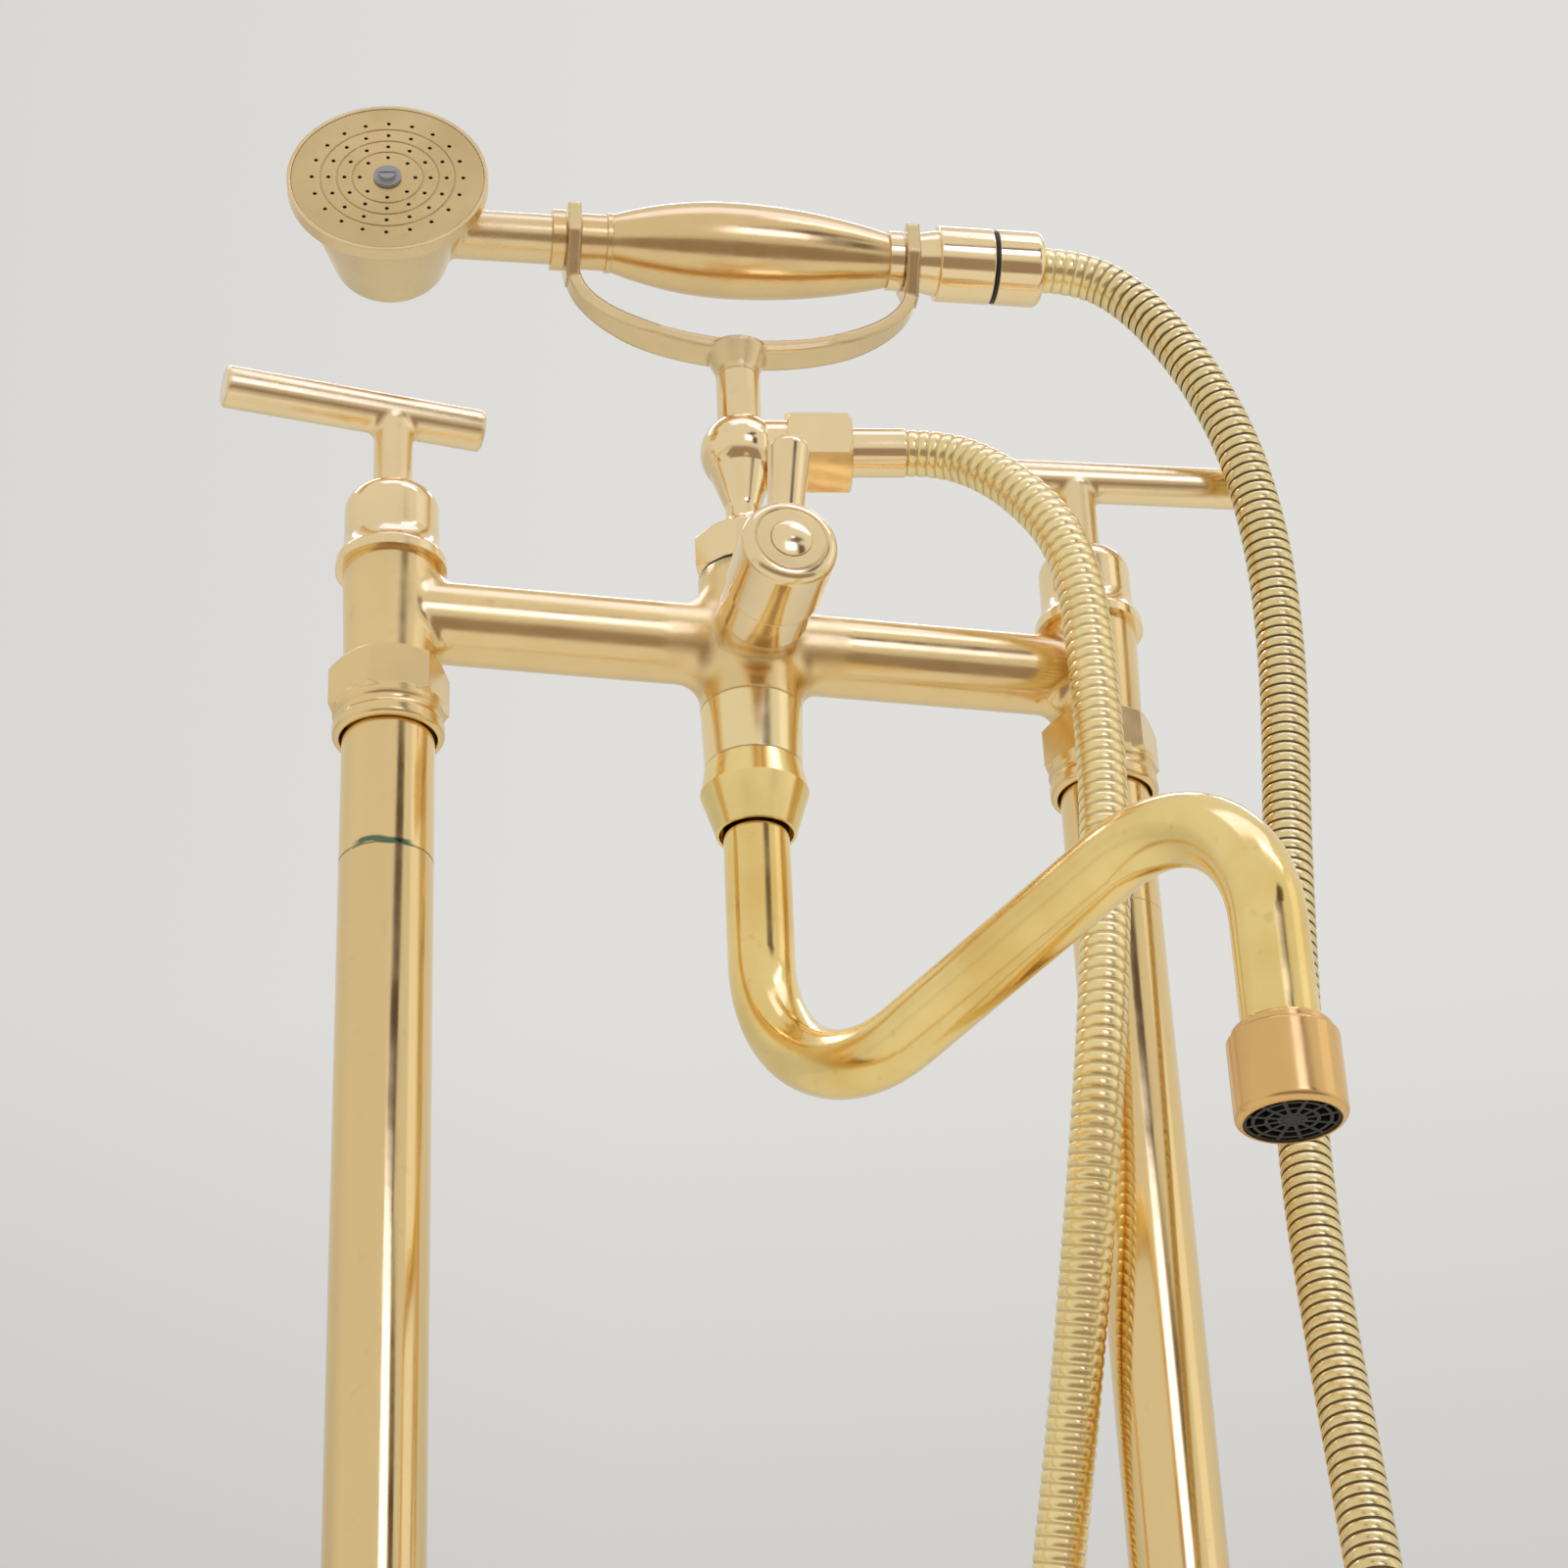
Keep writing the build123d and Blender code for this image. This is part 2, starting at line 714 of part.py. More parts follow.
# Bridge casting: two tees, the bar between them, and the centre that carries spout, riser and diverter
centre_frame = level(0)
bar_frame = Plane(origin=(0, 0, bar_height), z_dir=(1, 0, 0))
front_frame = Plane(origin=(0, 0, bar_height), x_dir=(1, 0, 0), z_dir=(0, -1, 0))
spout_bore_radius = spout_radius + running_gap
tee_taper = (tee_top_radius - tee_foot_radius) / (tee_top - union_stub_top)
with BuildPart() as bridge_body:
    rod(bar_frame, bar_radius, -leg_spacing / 2, leg_spacing / 2)
    for frame in valve_frames:
        turn(
            [
                (0, union_stub_top - fillet_run_out),
                (tee_foot_radius - tee_taper * fillet_run_out, union_stub_top - fillet_run_out),
                (tee_top_radius + tee_taper * fillet_run_out, tee_top + fillet_run_out),
                (0, tee_top + fillet_run_out),
            ],
            frame,
        )
    turn(
        [
            (0, centre_foot),
            (centre_foot_radius, centre_foot),
            (centre_radius, centre_waist),
            (centre_top_radius, centre_top),
            (0, centre_top),
        ],
        centre_frame,
    )
    bar_joints = bridge_body.edges().filter_by(GeomType.BSPLINE)
    fillet(bar_joints.filter_by(lambda e: abs(e.center().X) > leg_spacing / 4), tee_fillet)
    fillet(bar_joints.filter_by(lambda e: abs(e.center().X) < leg_spacing / 4), centre_fillet)
    for frame in valve_frames:
        rod(frame, tee_top_radius + tee_fillet, tee_top, tee_top + 2 * fillet_run_out, Mode.SUBTRACT)
        rod(frame, tee_top_radius, union_stub_top - 2 * fillet_run_out, union_stub_top, Mode.SUBTRACT)
        rod(frame, union_stub_radius, union_stub_end, union_stub_top)
        rod(frame, tee_inlet_radius, union_stub_end - cut_over, tee_seat + cut_over, Mode.SUBTRACT)
        rod(frame, tee_bore_radius, tee_seat, tee_top + cut_over, Mode.SUBTRACT)
    rod(front_frame, boss_radius, 0, boss_front)
    with BuildSketch(Plane(origin=(0, 0, bar_height), z_dir=(0, 0, 1))) as boss_side:
        with BuildLine():
            flare = SagittaArc(
                (boss_radius, -boss_flare_front),
                (boss_flare_radius, -boss_flare_back),
                (boss_flare_radius - boss_radius) / 2,
            )
            Polyline(flare @ 1, (0, -boss_flare_back), (0, -boss_flare_front), flare @ 0)
        make_face()
    revolve(axis=Axis((0, 0, bar_height), (0, 1, 0)))
    rod(centre_frame, riser_thread_radius, centre_top, riser_thread_top)
    rod(centre_frame, spout_thread_radius, spout_thread_end, centre_foot)
    with BuildPart(mode=Mode.SUBTRACT):
        ring(centre_frame, centre_radius + cut_over, centre_radius - centre_seam_depth,
             centre_waist - centre_seam_width, centre_waist)
    rod(centre_frame, spout_bore_radius, spout_thread_end - cut_over, spout_bore_top, Mode.SUBTRACT)
    rod(bar_frame, bar_bore_radius, -leg_spacing / 2, leg_spacing / 2, Mode.SUBTRACT)
    rod(front_frame, diverter_bore_radius, -diverter_bore_back, boss_front + cut_over, Mode.SUBTRACT)
    spout_port = Plane(origin=(0, rotor_port_offset, bar_height))
    riser_port = Plane(origin=(0, -rotor_port_offset, bar_height))
    rod(spout_port, rotor_port_radius, spout_bore_top - cut_over, 0, Mode.SUBTRACT)
    rod(riser_port, rotor_port_radius, 0, riser_thread_top + cut_over, Mode.SUBTRACT)
save(bridge_body.part, "bridge_body")

# Diverter: a hollow plug whose two cross holes feed the spout or the riser
lever_line = Vector(math.sin(math.radians(lever_tilt)), 0, math.cos(math.radians(lever_tilt)))
lever_frame = Plane(origin=(0, -lever_station, bar_height), z_dir=lever_line)
pocket_floor = knob_front - knob_pocket_depth
knob_outline = [(0, knob_back), (knob_radius, knob_back), (knob_radius, knob_front), (0, knob_front)]
knob_rounds = [((knob_radius, knob_front), knob_round), ((knob_radius, knob_back), knob_back_round)]
with BuildPart() as diverter_rotor:
    rod(front_frame, diverter_bore_radius - running_gap, -rotor_back, rotor_front)
    rod(front_frame, diverter_spindle_radius, rotor_front, diverter_spindle_end)
    rod(front_frame, diverter_tip_radius, diverter_spindle_end, diverter_tip_end)
    rod(front_frame, rotor_port_radius, -rotor_back - cut_over, rotor_port_offset, Mode.SUBTRACT)
    rod(spout_port, rotor_port_radius, -diverter_bore_radius, diverter_bore_radius, Mode.SUBTRACT)
    across = Plane(origin=(0, -rotor_port_offset, bar_height), z_dir=(1, 0, 0))
    rod(across, rotor_port_radius, -diverter_bore_radius, diverter_bore_radius, Mode.SUBTRACT)
    rod(front_frame, knob_screw_radius + running_gap, pocket_floor - knob_screw_length - running_gap,
        diverter_tip_end + cut_over, Mode.SUBTRACT)
    for place in diverter_seal_places:
        with Locations(front_frame.offset(place)):
            Torus(diverter_groove_radius + diverter_seal_thickness / 2,
                  diverter_seal_thickness / 2 + running_gap, mode=Mode.SUBTRACT)
save(diverter_rotor.part, "diverter_rotor")

with BuildPart() as diverter_seals:
    for place in diverter_seal_places:
        o_ring(front_frame, diverter_groove_radius, diverter_seal_thickness, place)
save(diverter_seals.part, "diverter_seals")

with BuildPart() as diverter_bonnet:
    rod(front_frame, bonnet_thread_radius, bonnet_back, boss_front)
    turn(
        [
            (0, boss_front),
            (bonnet_radius, boss_front),
            (bonnet_radius, bonnet_front),
            (0, bonnet_front),
        ],
        front_frame,
        rounds=[
            ((bonnet_radius, boss_front), bonnet_edge_round),
            ((bonnet_radius, bonnet_front), bonnet_edge_round),
        ],
    )
    rod(front_frame, diverter_spindle_radius + running_gap, 0, knob_back, Mode.SUBTRACT)
save(diverter_bonnet.part, "diverter_bonnet")

with BuildPart() as diverter_knob:
    turn(knob_outline, front_frame, rounds=knob_rounds)
    with BuildSketch(front_frame.offset(knob_front)) as groove:
        Circle(knob_groove_radius + knob_groove_width / 2)
        Circle(knob_groove_radius - knob_groove_width / 2, mode=Mode.SUBTRACT)
    extrude(groove.sketch, amount=-knob_groove_depth, mode=Mode.SUBTRACT)
    rod(front_frame, knob_pocket_radius, pocket_floor, knob_front + cut_over, Mode.SUBTRACT)
    rod(front_frame, diverter_tip_radius + running_gap, 0, diverter_tip_end, Mode.SUBTRACT)
    rod(front_frame, knob_screw_radius + fit_gap, 0, knob_front, Mode.SUBTRACT)
    rod(lever_frame, lever_spigot_radius + running_gap, lever_spigot_start, knob_radius + cut_over,
        Mode.SUBTRACT)
save(diverter_knob.part, "diverter_knob")

with BuildPart() as diverter_lever:
    turn(
        [
            (0, lever_foot),
            (lever_foot_radius, lever_foot),
            (lever_top_radius, lever_top),
            (0, lever_top),
        ],
        lever_frame,
        rounds=[((lever_top_radius, lever_top), lever_top_round)],
    )
    turn(knob_outline, front_frame, Mode.SUBTRACT)
    rod(lever_frame, lever_spigot_radius, lever_spigot_start, lever_top / 2)
save(diverter_lever.part, "diverter_lever")

with BuildPart() as knob_screw:
    rod(front_frame, knob_screw_radius, pocket_floor - knob_screw_length, pocket_floor)
    rod(front_frame, knob_screw_head_radius, pocket_floor, pocket_floor + knob_screw_head_height)
    socket_frame = front_frame.offset(pocket_floor + knob_screw_head_height)
    with BuildSketch(socket_frame) as socket:
        RegularPolygon(knob_screw_socket_radius, 6)
    extrude(socket.sketch, amount=-knob_screw_socket_depth, mode=Mode.SUBTRACT)
save(knob_screw.part, "knob_screw")

with BuildPart() as knob_cap:
    cap_rim = knob_front + knob_cap_rise
    cap_back = knob_front - knob_cap_thickness
    with BuildSketch(Plane(origin=(0, 0, bar_height), z_dir=(0, 0, 1))):
        with BuildLine():
            dome = RadiusArc((0, -cap_rim - knob_cap_dome), (knob_cap_radius, -cap_rim),
                             -(knob_cap_radius**2 + knob_cap_dome**2) / (2 * knob_cap_dome))
            Polyline(dome @ 1, (knob_cap_radius, -cap_back), (0, -cap_back), dome @ 0)
        make_face()
    revolve(axis=Axis((0, 0, bar_height), (0, 1, 0)))
save(knob_cap.part, "knob_cap")

# Spout, in the upright plane that it is turned to at rest
spout_line = Vector(math.sin(math.radians(spout_turn)), -math.cos(math.radians(spout_turn)), 0)
spout_plane = Plane(origin=(0, 0, bar_height), x_dir=spout_line, z_dir=spout_line.cross(Vector(0, 0, 1)))
outlet_x, outlet_y = spout_reach * spout_line.X, spout_reach * spout_line.Y
aerator_frame = Plane(origin=(outlet_x, outlet_y, bar_height))
slip_ring_bottom = spout_thread_end - free_gap - slip_ring_thickness
collar_bottom = slip_ring_bottom - spout_collar_thickness
spout_nut_shoulder = collar_bottom - free_gap
spout_nut_bore_radius = spout_thread_radius + fit_gap
with BuildPart() as spout_tube:
    with BuildLine(spout_plane) as spout_path:
        FilletPolyline(
            (0, spout_shank_end),
            (0, spout_low_corner),
            (spout_reach, spout_high_corner),
            (spout_reach, spout_end),
            radius=[spout_low_bend, spout_high_bend],
        )
    with BuildSketch(level(spout_shank_end)) as spout_section:
        Circle(spout_radius)
        Circle(spout_radius - spout_wall, mode=Mode.SUBTRACT)
    sweep(spout_section.sketch, path=spout_path.wire())
    rod(centre_frame, spout_radius, spout_shank_end, spout_shank_top)
    rod(centre_frame, spout_collar_radius, collar_bottom, slip_ring_bottom)
    rod(centre_frame, spout_shank_bore_radius, spout_shank_end - cut_over, 0, Mode.SUBTRACT)
    for height in spout_seal_heights:
        with Locations(centre_frame.offset(height)):
            Torus(spout_groove_radius + spout_seal_thickness / 2,
                  spout_seal_thickness / 2 + running_gap, mode=Mode.SUBTRACT)
save(spout_tube.part, "spout_tube")
tube_section = math.pi * (spout_radius**2 - (spout_radius - spout_wall) ** 2)
print("spout path", round(spout_path.wire().length, 1), "section", round(tube_section, 1))

with BuildPart() as spout_slip_ring:
    ring(centre_frame, spout_collar_radius, spout_radius + running_gap, slip_ring_bottom,
         slip_ring_bottom + slip_ring_thickness)
save(spout_slip_ring.part, "spout_slip_ring")

with BuildPart() as spout_nut:
    turn(
        [
            (0, spout_nut_bottom),
            (spout_nut_bottom_radius, spout_nut_bottom),
            (spout_nut_belly_radius, spout_nut_belly),
            (centre_foot_radius, centre_foot - spout_nut_gap),
            (0, centre_foot - spout_nut_gap),
        ],
        centre_frame,
    )
    rod(centre_frame, spout_nut_bore_radius, spout_nut_shoulder, 0, Mode.SUBTRACT)
    rod(centre_frame, spout_nut_mouth_radius, spout_nut_bottom - cut_over, 0, Mode.SUBTRACT)
save(spout_nut.part, "spout_nut")

housing_step = housing_bottom + housing_thread_height
with BuildPart() as aerator_housing:
    turn(
        [
            (0, housing_bottom),
            (housing_radius, housing_bottom),
            (housing_radius, housing_top - housing_top_chamfer),
            (housing_radius - housing_top_chamfer, housing_top),
            (housing_neck_radius, housing_top),
            (housing_neck_radius, housing_top + housing_neck_height - housing_top_chamfer),
            (housing_neck_radius - housing_top_chamfer, housing_top + housing_neck_height),
            (0, housing_top + housing_neck_height),
        ],
        aerator_frame,
        rounds=[((housing_radius, housing_bottom), housing_bottom_round)],
    )
    rod(aerator_frame, spout_radius + running_gap, housing_bottom, 0, Mode.SUBTRACT)
    rod(aerator_frame, housing_bore_radius, housing_bottom - cut_over, housing_step, Mode.SUBTRACT)
save(aerator_housing.part, "aerator_housing")

aerator_face = housing_bottom + aerator_recess
aerator_top = aerator_face + aerator_height
with BuildPart() as aerator_insert:
    rod(aerator_frame, aerator_radius, aerator_face, aerator_top)
    rod(aerator_frame, aerator_bore_radius, aerator_face + 2 * aerator_grid_depth, aerator_top + cut_over,
        Mode.SUBTRACT)
    with BuildSketch(aerator_frame.offset(aerator_face)) as grid:
        Circle(aerator_radius - aerator_ring_width)
        for ring_radius in aerator_ring_radii:
            Circle(ring_radius + aerator_ring_width / 2, mode=Mode.SUBTRACT)
            Circle(ring_radius - aerator_ring_width / 2)
        with PolarLocations(0, aerator_spoke_count):
            Rectangle(aerator_radius, aerator_spoke_width, align=(Align.MIN, Align.CENTER),
                      mode=Mode.SUBTRACT)
    extrude(grid.sketch, amount=aerator_grid_depth, mode=Mode.SUBTRACT)
save(aerator_insert.part, "aerator_insert")

# Two rings at the spout's top and the washer over the aerator, as one group
with BuildPart() as spout_seals:
    for height in spout_seal_heights:
        o_ring(centre_frame, spout_groove_radius, spout_seal_thickness, height)
    ring(aerator_frame, aerator_radius, aerator_bore_radius, aerator_top, housing_step)
save(spout_seals.part, "spout_seals")

# Riser column with its ball, and the outlet for the hose
riser_foot = riser_thread_top + riser_gasket_thickness
riser_foot_top = riser_foot + riser_foot_height
riser_foot_radius = riser_thread_radius - running_gap
outlet_frame = along(outlet_yaw, outlet_height)
ferrule_start = outlet_nipple_end + hose_washer_thickness
ferrule_flange_end = hose_nut_end - hose_nut_lip_height
with BuildPart() as riser_column:
    turn(
        [
            (0, riser_foot),
            (riser_foot_radius, riser_foot),
            (riser_foot_radius, riser_foot_top),
            (riser_neck_radius, riser_foot_top),
            (riser_neck_radius, riser_neck_top),
            (riser_waist_radius, riser_waist_bottom),
            (riser_waist_radius, riser_waist_top),
            (ball_cup_radius, ball_cup_height),
            (post_radius, ball_cup_height),
            (post_radius, post_top),
            (0, post_top),
        ],
        centre_frame,
        rounds=[
            ((riser_waist_radius, riser_waist_bottom), riser_waist_round),
            ((riser_waist_radius, riser_waist_top), riser_waist_round),
        ],
    )
    with Locations(level(ball_height)):
        Sphere(ball_radius)
    rod(centre_frame, post_spigot_radius, post_top, post_top + post_spigot_length)
    rod(outlet_frame, outlet_radius, 0, outlet_nipple_end)
    rod(centre_frame, riser_recess_radius, riser_foot - cut_over, riser_foot + riser_recess_depth,
        Mode.SUBTRACT)
    rod(centre_frame, riser_bore_radius, riser_foot, outlet_height, Mode.SUBTRACT)
    rod(outlet_frame, riser_bore_radius, 0, outlet_nipple_end + cut_over, Mode.SUBTRACT)
save(riser_column.part, "riser_column")

with BuildPart() as riser_nut:
    hexagon_bar(centre_frame, riser_nut_flats, riser_nut_bottom, riser_nut_top, riser_nut_chamfer,
                riser_nut_turn)
    rod(centre_frame, riser_thread_radius + fit_gap, 0, riser_foot_top, Mode.SUBTRACT)
    rod(centre_frame, riser_neck_radius + fit_gap, 0, riser_nut_top + cut_over, Mode.SUBTRACT)
save(riser_nut.part, "riser_nut")

with BuildPart() as riser_seals:
    ring(centre_frame, riser_washer_radius, riser_thread_radius + fit_gap, centre_top, riser_nut_bottom)
    ring(centre_frame, riser_foot_radius, riser_recess_radius, riser_thread_top, riser_foot)
save(riser_seals.part, "riser_seals")

with BuildPart() as hose_outlet_nut:
    hexagon_bar(outlet_frame, hose_nut_flats, hose_nut_start, hose_nut_end, hose_nut_chamfer,
                hose_nut_turn)
    rod(outlet_frame, outlet_radius + fit_gap, 0, ferrule_flange_end, Mode.SUBTRACT)
    rod(outlet_frame, ferrule_radius + fit_gap, 0, hose_nut_end + cut_over, Mode.SUBTRACT)
save(hose_outlet_nut.part, "hose_outlet_nut")

with BuildPart() as hose_outlet_washer:
    ring(outlet_frame, outlet_radius, riser_bore_radius, outlet_nipple_end, ferrule_start)
save(hose_outlet_washer.part, "hose_outlet_washer")

with BuildPart() as hose_ferrule:
    turn(
        [
            (0, ferrule_start),
            (outlet_radius, ferrule_start),
            (outlet_radius, ferrule_flange_end),
            (ferrule_radius, ferrule_flange_end),
            (ferrule_radius, ferrule_end),
            (0, ferrule_end),
        ],
        outlet_frame,
        rounds=[((ferrule_radius, ferrule_end), ferrule_end_round)],
    )
    rod(outlet_frame, liner_bore_radius, 0, ferrule_end + cut_over, Mode.SUBTRACT)
save(hose_ferrule.part, "hose_ferrule")

# Cradle fork: a half-oval bow on a hub, with a forked yoke at each end
cradle_line = Vector(math.cos(math.radians(cradle_yaw)), math.sin(math.radians(cradle_yaw)), 0)
bow_plane = Plane(origin=(0, 0, bar_height), x_dir=cradle_line, z_dir=cradle_line.cross(Vector(0, 0, 1)))
slot_radius = groove_radius + yoke_gap
yoke_radius = slot_radius + yoke_wall
bow_centre = (cradle_left + cradle_right) / 2
bow_half_span = (cradle_right - cradle_left + cradle_end_thickness) / 2
bow_depth = cradle_spring_height - cradle_bow_bottom
with BuildPart() as cradle_fork:
    with BuildSketch(bow_plane) as bow:
        with Locations((bow_centre, cradle_spring_height)):
            Ellipse(bow_half_span, bow_depth)
            Ellipse(bow_half_span - cradle_end_thickness, bow_depth - cradle_bow_thickness,
                    mode=Mode.SUBTRACT)
            Rectangle(2 * bow_half_span, bow_depth, align=(Align.CENTER, Align.MIN), mode=Mode.SUBTRACT)
    extrude(bow.sketch, amount=cradle_bow_width / 2, both=True)
    fillet(cradle_fork.edges().filter_by(GeomType.ELLIPSE), cradle_bow_edge_round)
    with BuildSketch(level(cradle_bow_bottom - cut_over, 0, cradle_yaw)) as plan:
        with BuildLine():
            Polyline(
                (bow_centre - bow_half_span, -cradle_end_width / 2),
                (bow_centre - cradle_taper_start, -cradle_bow_width / 2),
                (bow_centre + cradle_taper_start, -cradle_bow_width / 2),
                (bow_centre + bow_half_span, -cradle_end_width / 2),
                (bow_centre + bow_half_span, cradle_end_width / 2),
                (bow_centre + cradle_taper_start, cradle_bow_width / 2),
                (bow_centre - cradle_taper_start, cradle_bow_width / 2),
                (bow_centre - bow_half_span, cradle_end_width / 2),
                close=True,
            )
        make_face()
    extrude(plan.sketch, amount=bow_depth + 2 * cut_over, mode=Mode.INTERSECT)
    for station in (cradle_left, cradle_right):
        with BuildSketch(along(cradle_yaw, handset_height, station)) as yoke:
            with BuildLine():
                Polyline(
                    (-cradle_end_width / 2, -yoke_root_drop),
                    (cradle_end_width / 2, -yoke_root_drop),
                    (yoke_radius, -slot_radius / 2),
                    (yoke_radius, yoke_prong_rise),
                    (-yoke_radius, yoke_prong_rise),
                    (-yoke_radius, -slot_radius / 2),
                    close=True,
                )
            make_face()
            Circle(slot_radius, mode=Mode.SUBTRACT)
            Rectangle(2 * slot_radius, 2 * slot_radius, align=(Align.CENTER, Align.MIN),
                      mode=Mode.SUBTRACT)
            fillet(yoke.vertices().group_by(Axis.Y)[-1], yoke_prong_round)
        extrude(yoke.sketch, amount=cradle_end_thickness / 2, both=True)
    turn(
        [
            (0, post_top),
            (post_radius, post_top),
            (post_radius, cradle_hub_waist_height),
            (cradle_hub_flare_radius, cradle_bow_bottom + cradle_bow_thickness / 2),
            (0, cradle_bow_bottom + cradle_bow_thickness / 2),
        ],
        centre_frame,
    )
    rod(centre_frame, post_spigot_radius + running_gap, 0, post_top + post_spigot_length, Mode.SUBTRACT)
save(cradle_fork.part, "cradle_fork")

# Hand shower head and neck
handset_frame = along(cradle_yaw, handset_height)
head_yaw = math.radians(cradle_yaw + head_yaw_extra)
head_pitch = math.radians(head_tilt)
face_line = Vector(math.sin(head_yaw) * math.cos(head_pitch), -math.cos(head_yaw) * math.cos(head_pitch),
                   math.sin(head_pitch))
face_centre = handset_frame.origin + handset_frame.z_dir * head_station + face_line * head_face
face_frame = Plane(origin=face_centre, x_dir=(-math.cos(head_yaw), -math.sin(head_yaw), 0), z_dir=face_line)
rose_radius = head_rim_radius - head_rim_wall - fit_gap
plate_back = -head_rim_recess - rose_thickness
gasket_back = plate_back - rose_gasket_thickness
cavity_radius = bowl_shoulder_radius - bowl_wall
with BuildPart() as head_shell:
    turn(
        [
            (0, -bowl_depth),
            (bowl_back_radius, -bowl_depth),
            (bowl_shoulder_radius, -bowl_shoulder_depth),
            (bowl_shoulder_radius, -head_rim_height),
            (head_rim_radius, -head_rim_height),
            (head_rim_radius, 0),
            (0, 0),
        ],
        face_frame,
        rounds=[
            ((bowl_back_radius, -bowl_depth), bowl_back_round),
            ((head_rim_radius, -head_rim_height), head_rim_round),
        ],
    )
    rod(handset_frame, neck_radius, head_station + cavity_radius / 2, ring_left_start)
    fillet(head_shell.edges().filter_by(GeomType.BSPLINE), neck_fillet)
    turn(
        [
            (0, bowl_wall - bowl_depth),
            (bowl_back_radius - bowl_wall, bowl_wall - bowl_depth),
            (cavity_radius, gasket_back),
            (head_rim_radius - head_rim_wall, gasket_back),
            (head_rim_radius - head_rim_wall, cut_over),
            (0, cut_over),
        ],
        face_frame,
        Mode.SUBTRACT,
        rounds=[((bowl_back_radius - bowl_wall, bowl_wall - bowl_depth), bowl_back_round - bowl_wall)],
    )
    rod(handset_frame, neck_bore_radius, head_station + cavity_radius / 2, ring_left_start + cut_over,
        Mode.SUBTRACT)
    rod(face_frame, rose_post_radius, bowl_wall / 2 - bowl_depth, plate_back)
    rod(face_frame, rose_screw_radius + running_gap, rose_washer_thickness - rose_screw_length
        - rose_screw_head_height, cut_over, Mode.SUBTRACT)
save(head_shell.part, "head_shell")

# Rose plate, its gasket, washer and screw
with BuildPart() as rose_plate:
    rod(face_frame, rose_radius, plate_back, -head_rim_recess)
    rod(face_frame, rose_screw_radius + fit_gap, plate_back - cut_over, 0, Mode.SUBTRACT)
    with BuildSketch(face_frame.offset(-head_rim_recess)) as rings:
        for groove_middle in reversed(rose_groove_radii):
            Circle(groove_middle + rose_groove_width / 2)
            Circle(groove_middle - rose_groove_width / 2, mode=Mode.SUBTRACT)
    extrude(rings.sketch, amount=-rose_groove_depth, mode=Mode.SUBTRACT)
    with BuildSketch(face_frame.offset(plate_back)) as holes:
        for count, circle_radius in rose_hole_circles:
            with PolarLocations(circle_radius, count):
                Circle(rose_hole_radius)
    extrude(holes.sketch, amount=rose_thickness, mode=Mode.SUBTRACT)
save(rose_plate.part, "rose_plate")

with BuildPart() as rose_gasket:
    ring(face_frame, rose_radius, rose_radius - rose_gasket_width, gasket_back, plate_back)
save(rose_gasket.part, "rose_gasket")

washer_front = rose_washer_thickness - head_rim_recess
with BuildPart() as rose_washer:
    ring(face_frame, rose_washer_radius, rose_screw_radius + fit_gap, -head_rim_recess, washer_front)
save(rose_washer.part, "rose_washer")

with BuildPart() as rose_screw:
    rod(face_frame, rose_screw_radius, washer_front - rose_screw_length, washer_front)
    rod(face_frame, rose_screw_head_radius, washer_front, washer_front + rose_screw_head_height)
    with BuildSketch(face_frame.offset(washer_front + rose_screw_head_height)) as slot:
        Rectangle(2 * rose_screw_head_radius, rose_screw_slot_width)
    extrude(slot.sketch, amount=-rose_screw_slot_depth, mode=Mode.SUBTRACT)
save(rose_screw.part, "rose_screw")

# Water tube of the hand shower, its grip and its tail
left_groove_start = cradle_left - cradle_end_thickness / 2 - yoke_gap
left_groove_end = cradle_left + cradle_end_thickness / 2 + yoke_gap
right_groove_start = cradle_right - cradle_end_thickness / 2 - yoke_gap
right_groove_end = cradle_right + cradle_end_thickness / 2 + yoke_gap
tube_end = (right_groove_start + right_groove_end) / 2
with BuildPart() as handset_tube:
    turn(
        [
            (0, ring_left_start - tail_spigot_length),
            (neck_bore_radius - running_gap, ring_left_start - tail_spigot_length),
            (neck_bore_radius - running_gap, ring_left_start),
            (ring_left_radius, ring_left_start),
            (ring_left_radius, left_groove_start),
            (groove_radius, left_groove_start),
            (groove_radius, left_groove_end),
            (collar_left_radius, left_groove_end),
            (collar_left_radius, grip_start),
            (tube_radius, grip_start),
            (tube_radius, tube_end),
            (0, tube_end),
        ],
        handset_frame,
    )
    rod(handset_frame, tube_bore_radius, ring_left_start - tail_spigot_length - cut_over,
        tube_end + cut_over, Mode.SUBTRACT)
save(handset_tube.part, "handset_tube")

with BuildPart() as grip:
    grip_side = Plane(origin=handset_frame.origin, x_dir=handset_frame.x_dir, z_dir=-handset_frame.y_dir)
    with BuildSketch(grip_side) as grip_outline:
        with BuildLine():
            TangentArc((grip_belly_radius, grip_belly_station), (grip_end_radius, grip_end), tangent=(0, 1))
            Polyline((grip_end_radius, grip_end), (0, grip_end), (0, grip_start),
                     (grip_bead_radius, grip_start), (grip_bead_radius, grip_start + grip_bead_length),
                     (grip_start_radius, grip_start + grip_bead_length))
            TangentArc((grip_belly_radius, grip_belly_station),
                       (grip_start_radius, grip_start + grip_bead_length), tangent=(0, -1))
        make_face()
    revolve(grip_outline.sketch, axis=Axis(handset_frame.origin, handset_frame.z_dir))
    rod(handset_frame, tube_radius + fit_gap, grip_start - cut_over, grip_end + cut_over, Mode.SUBTRACT)
save(grip.part, "grip")

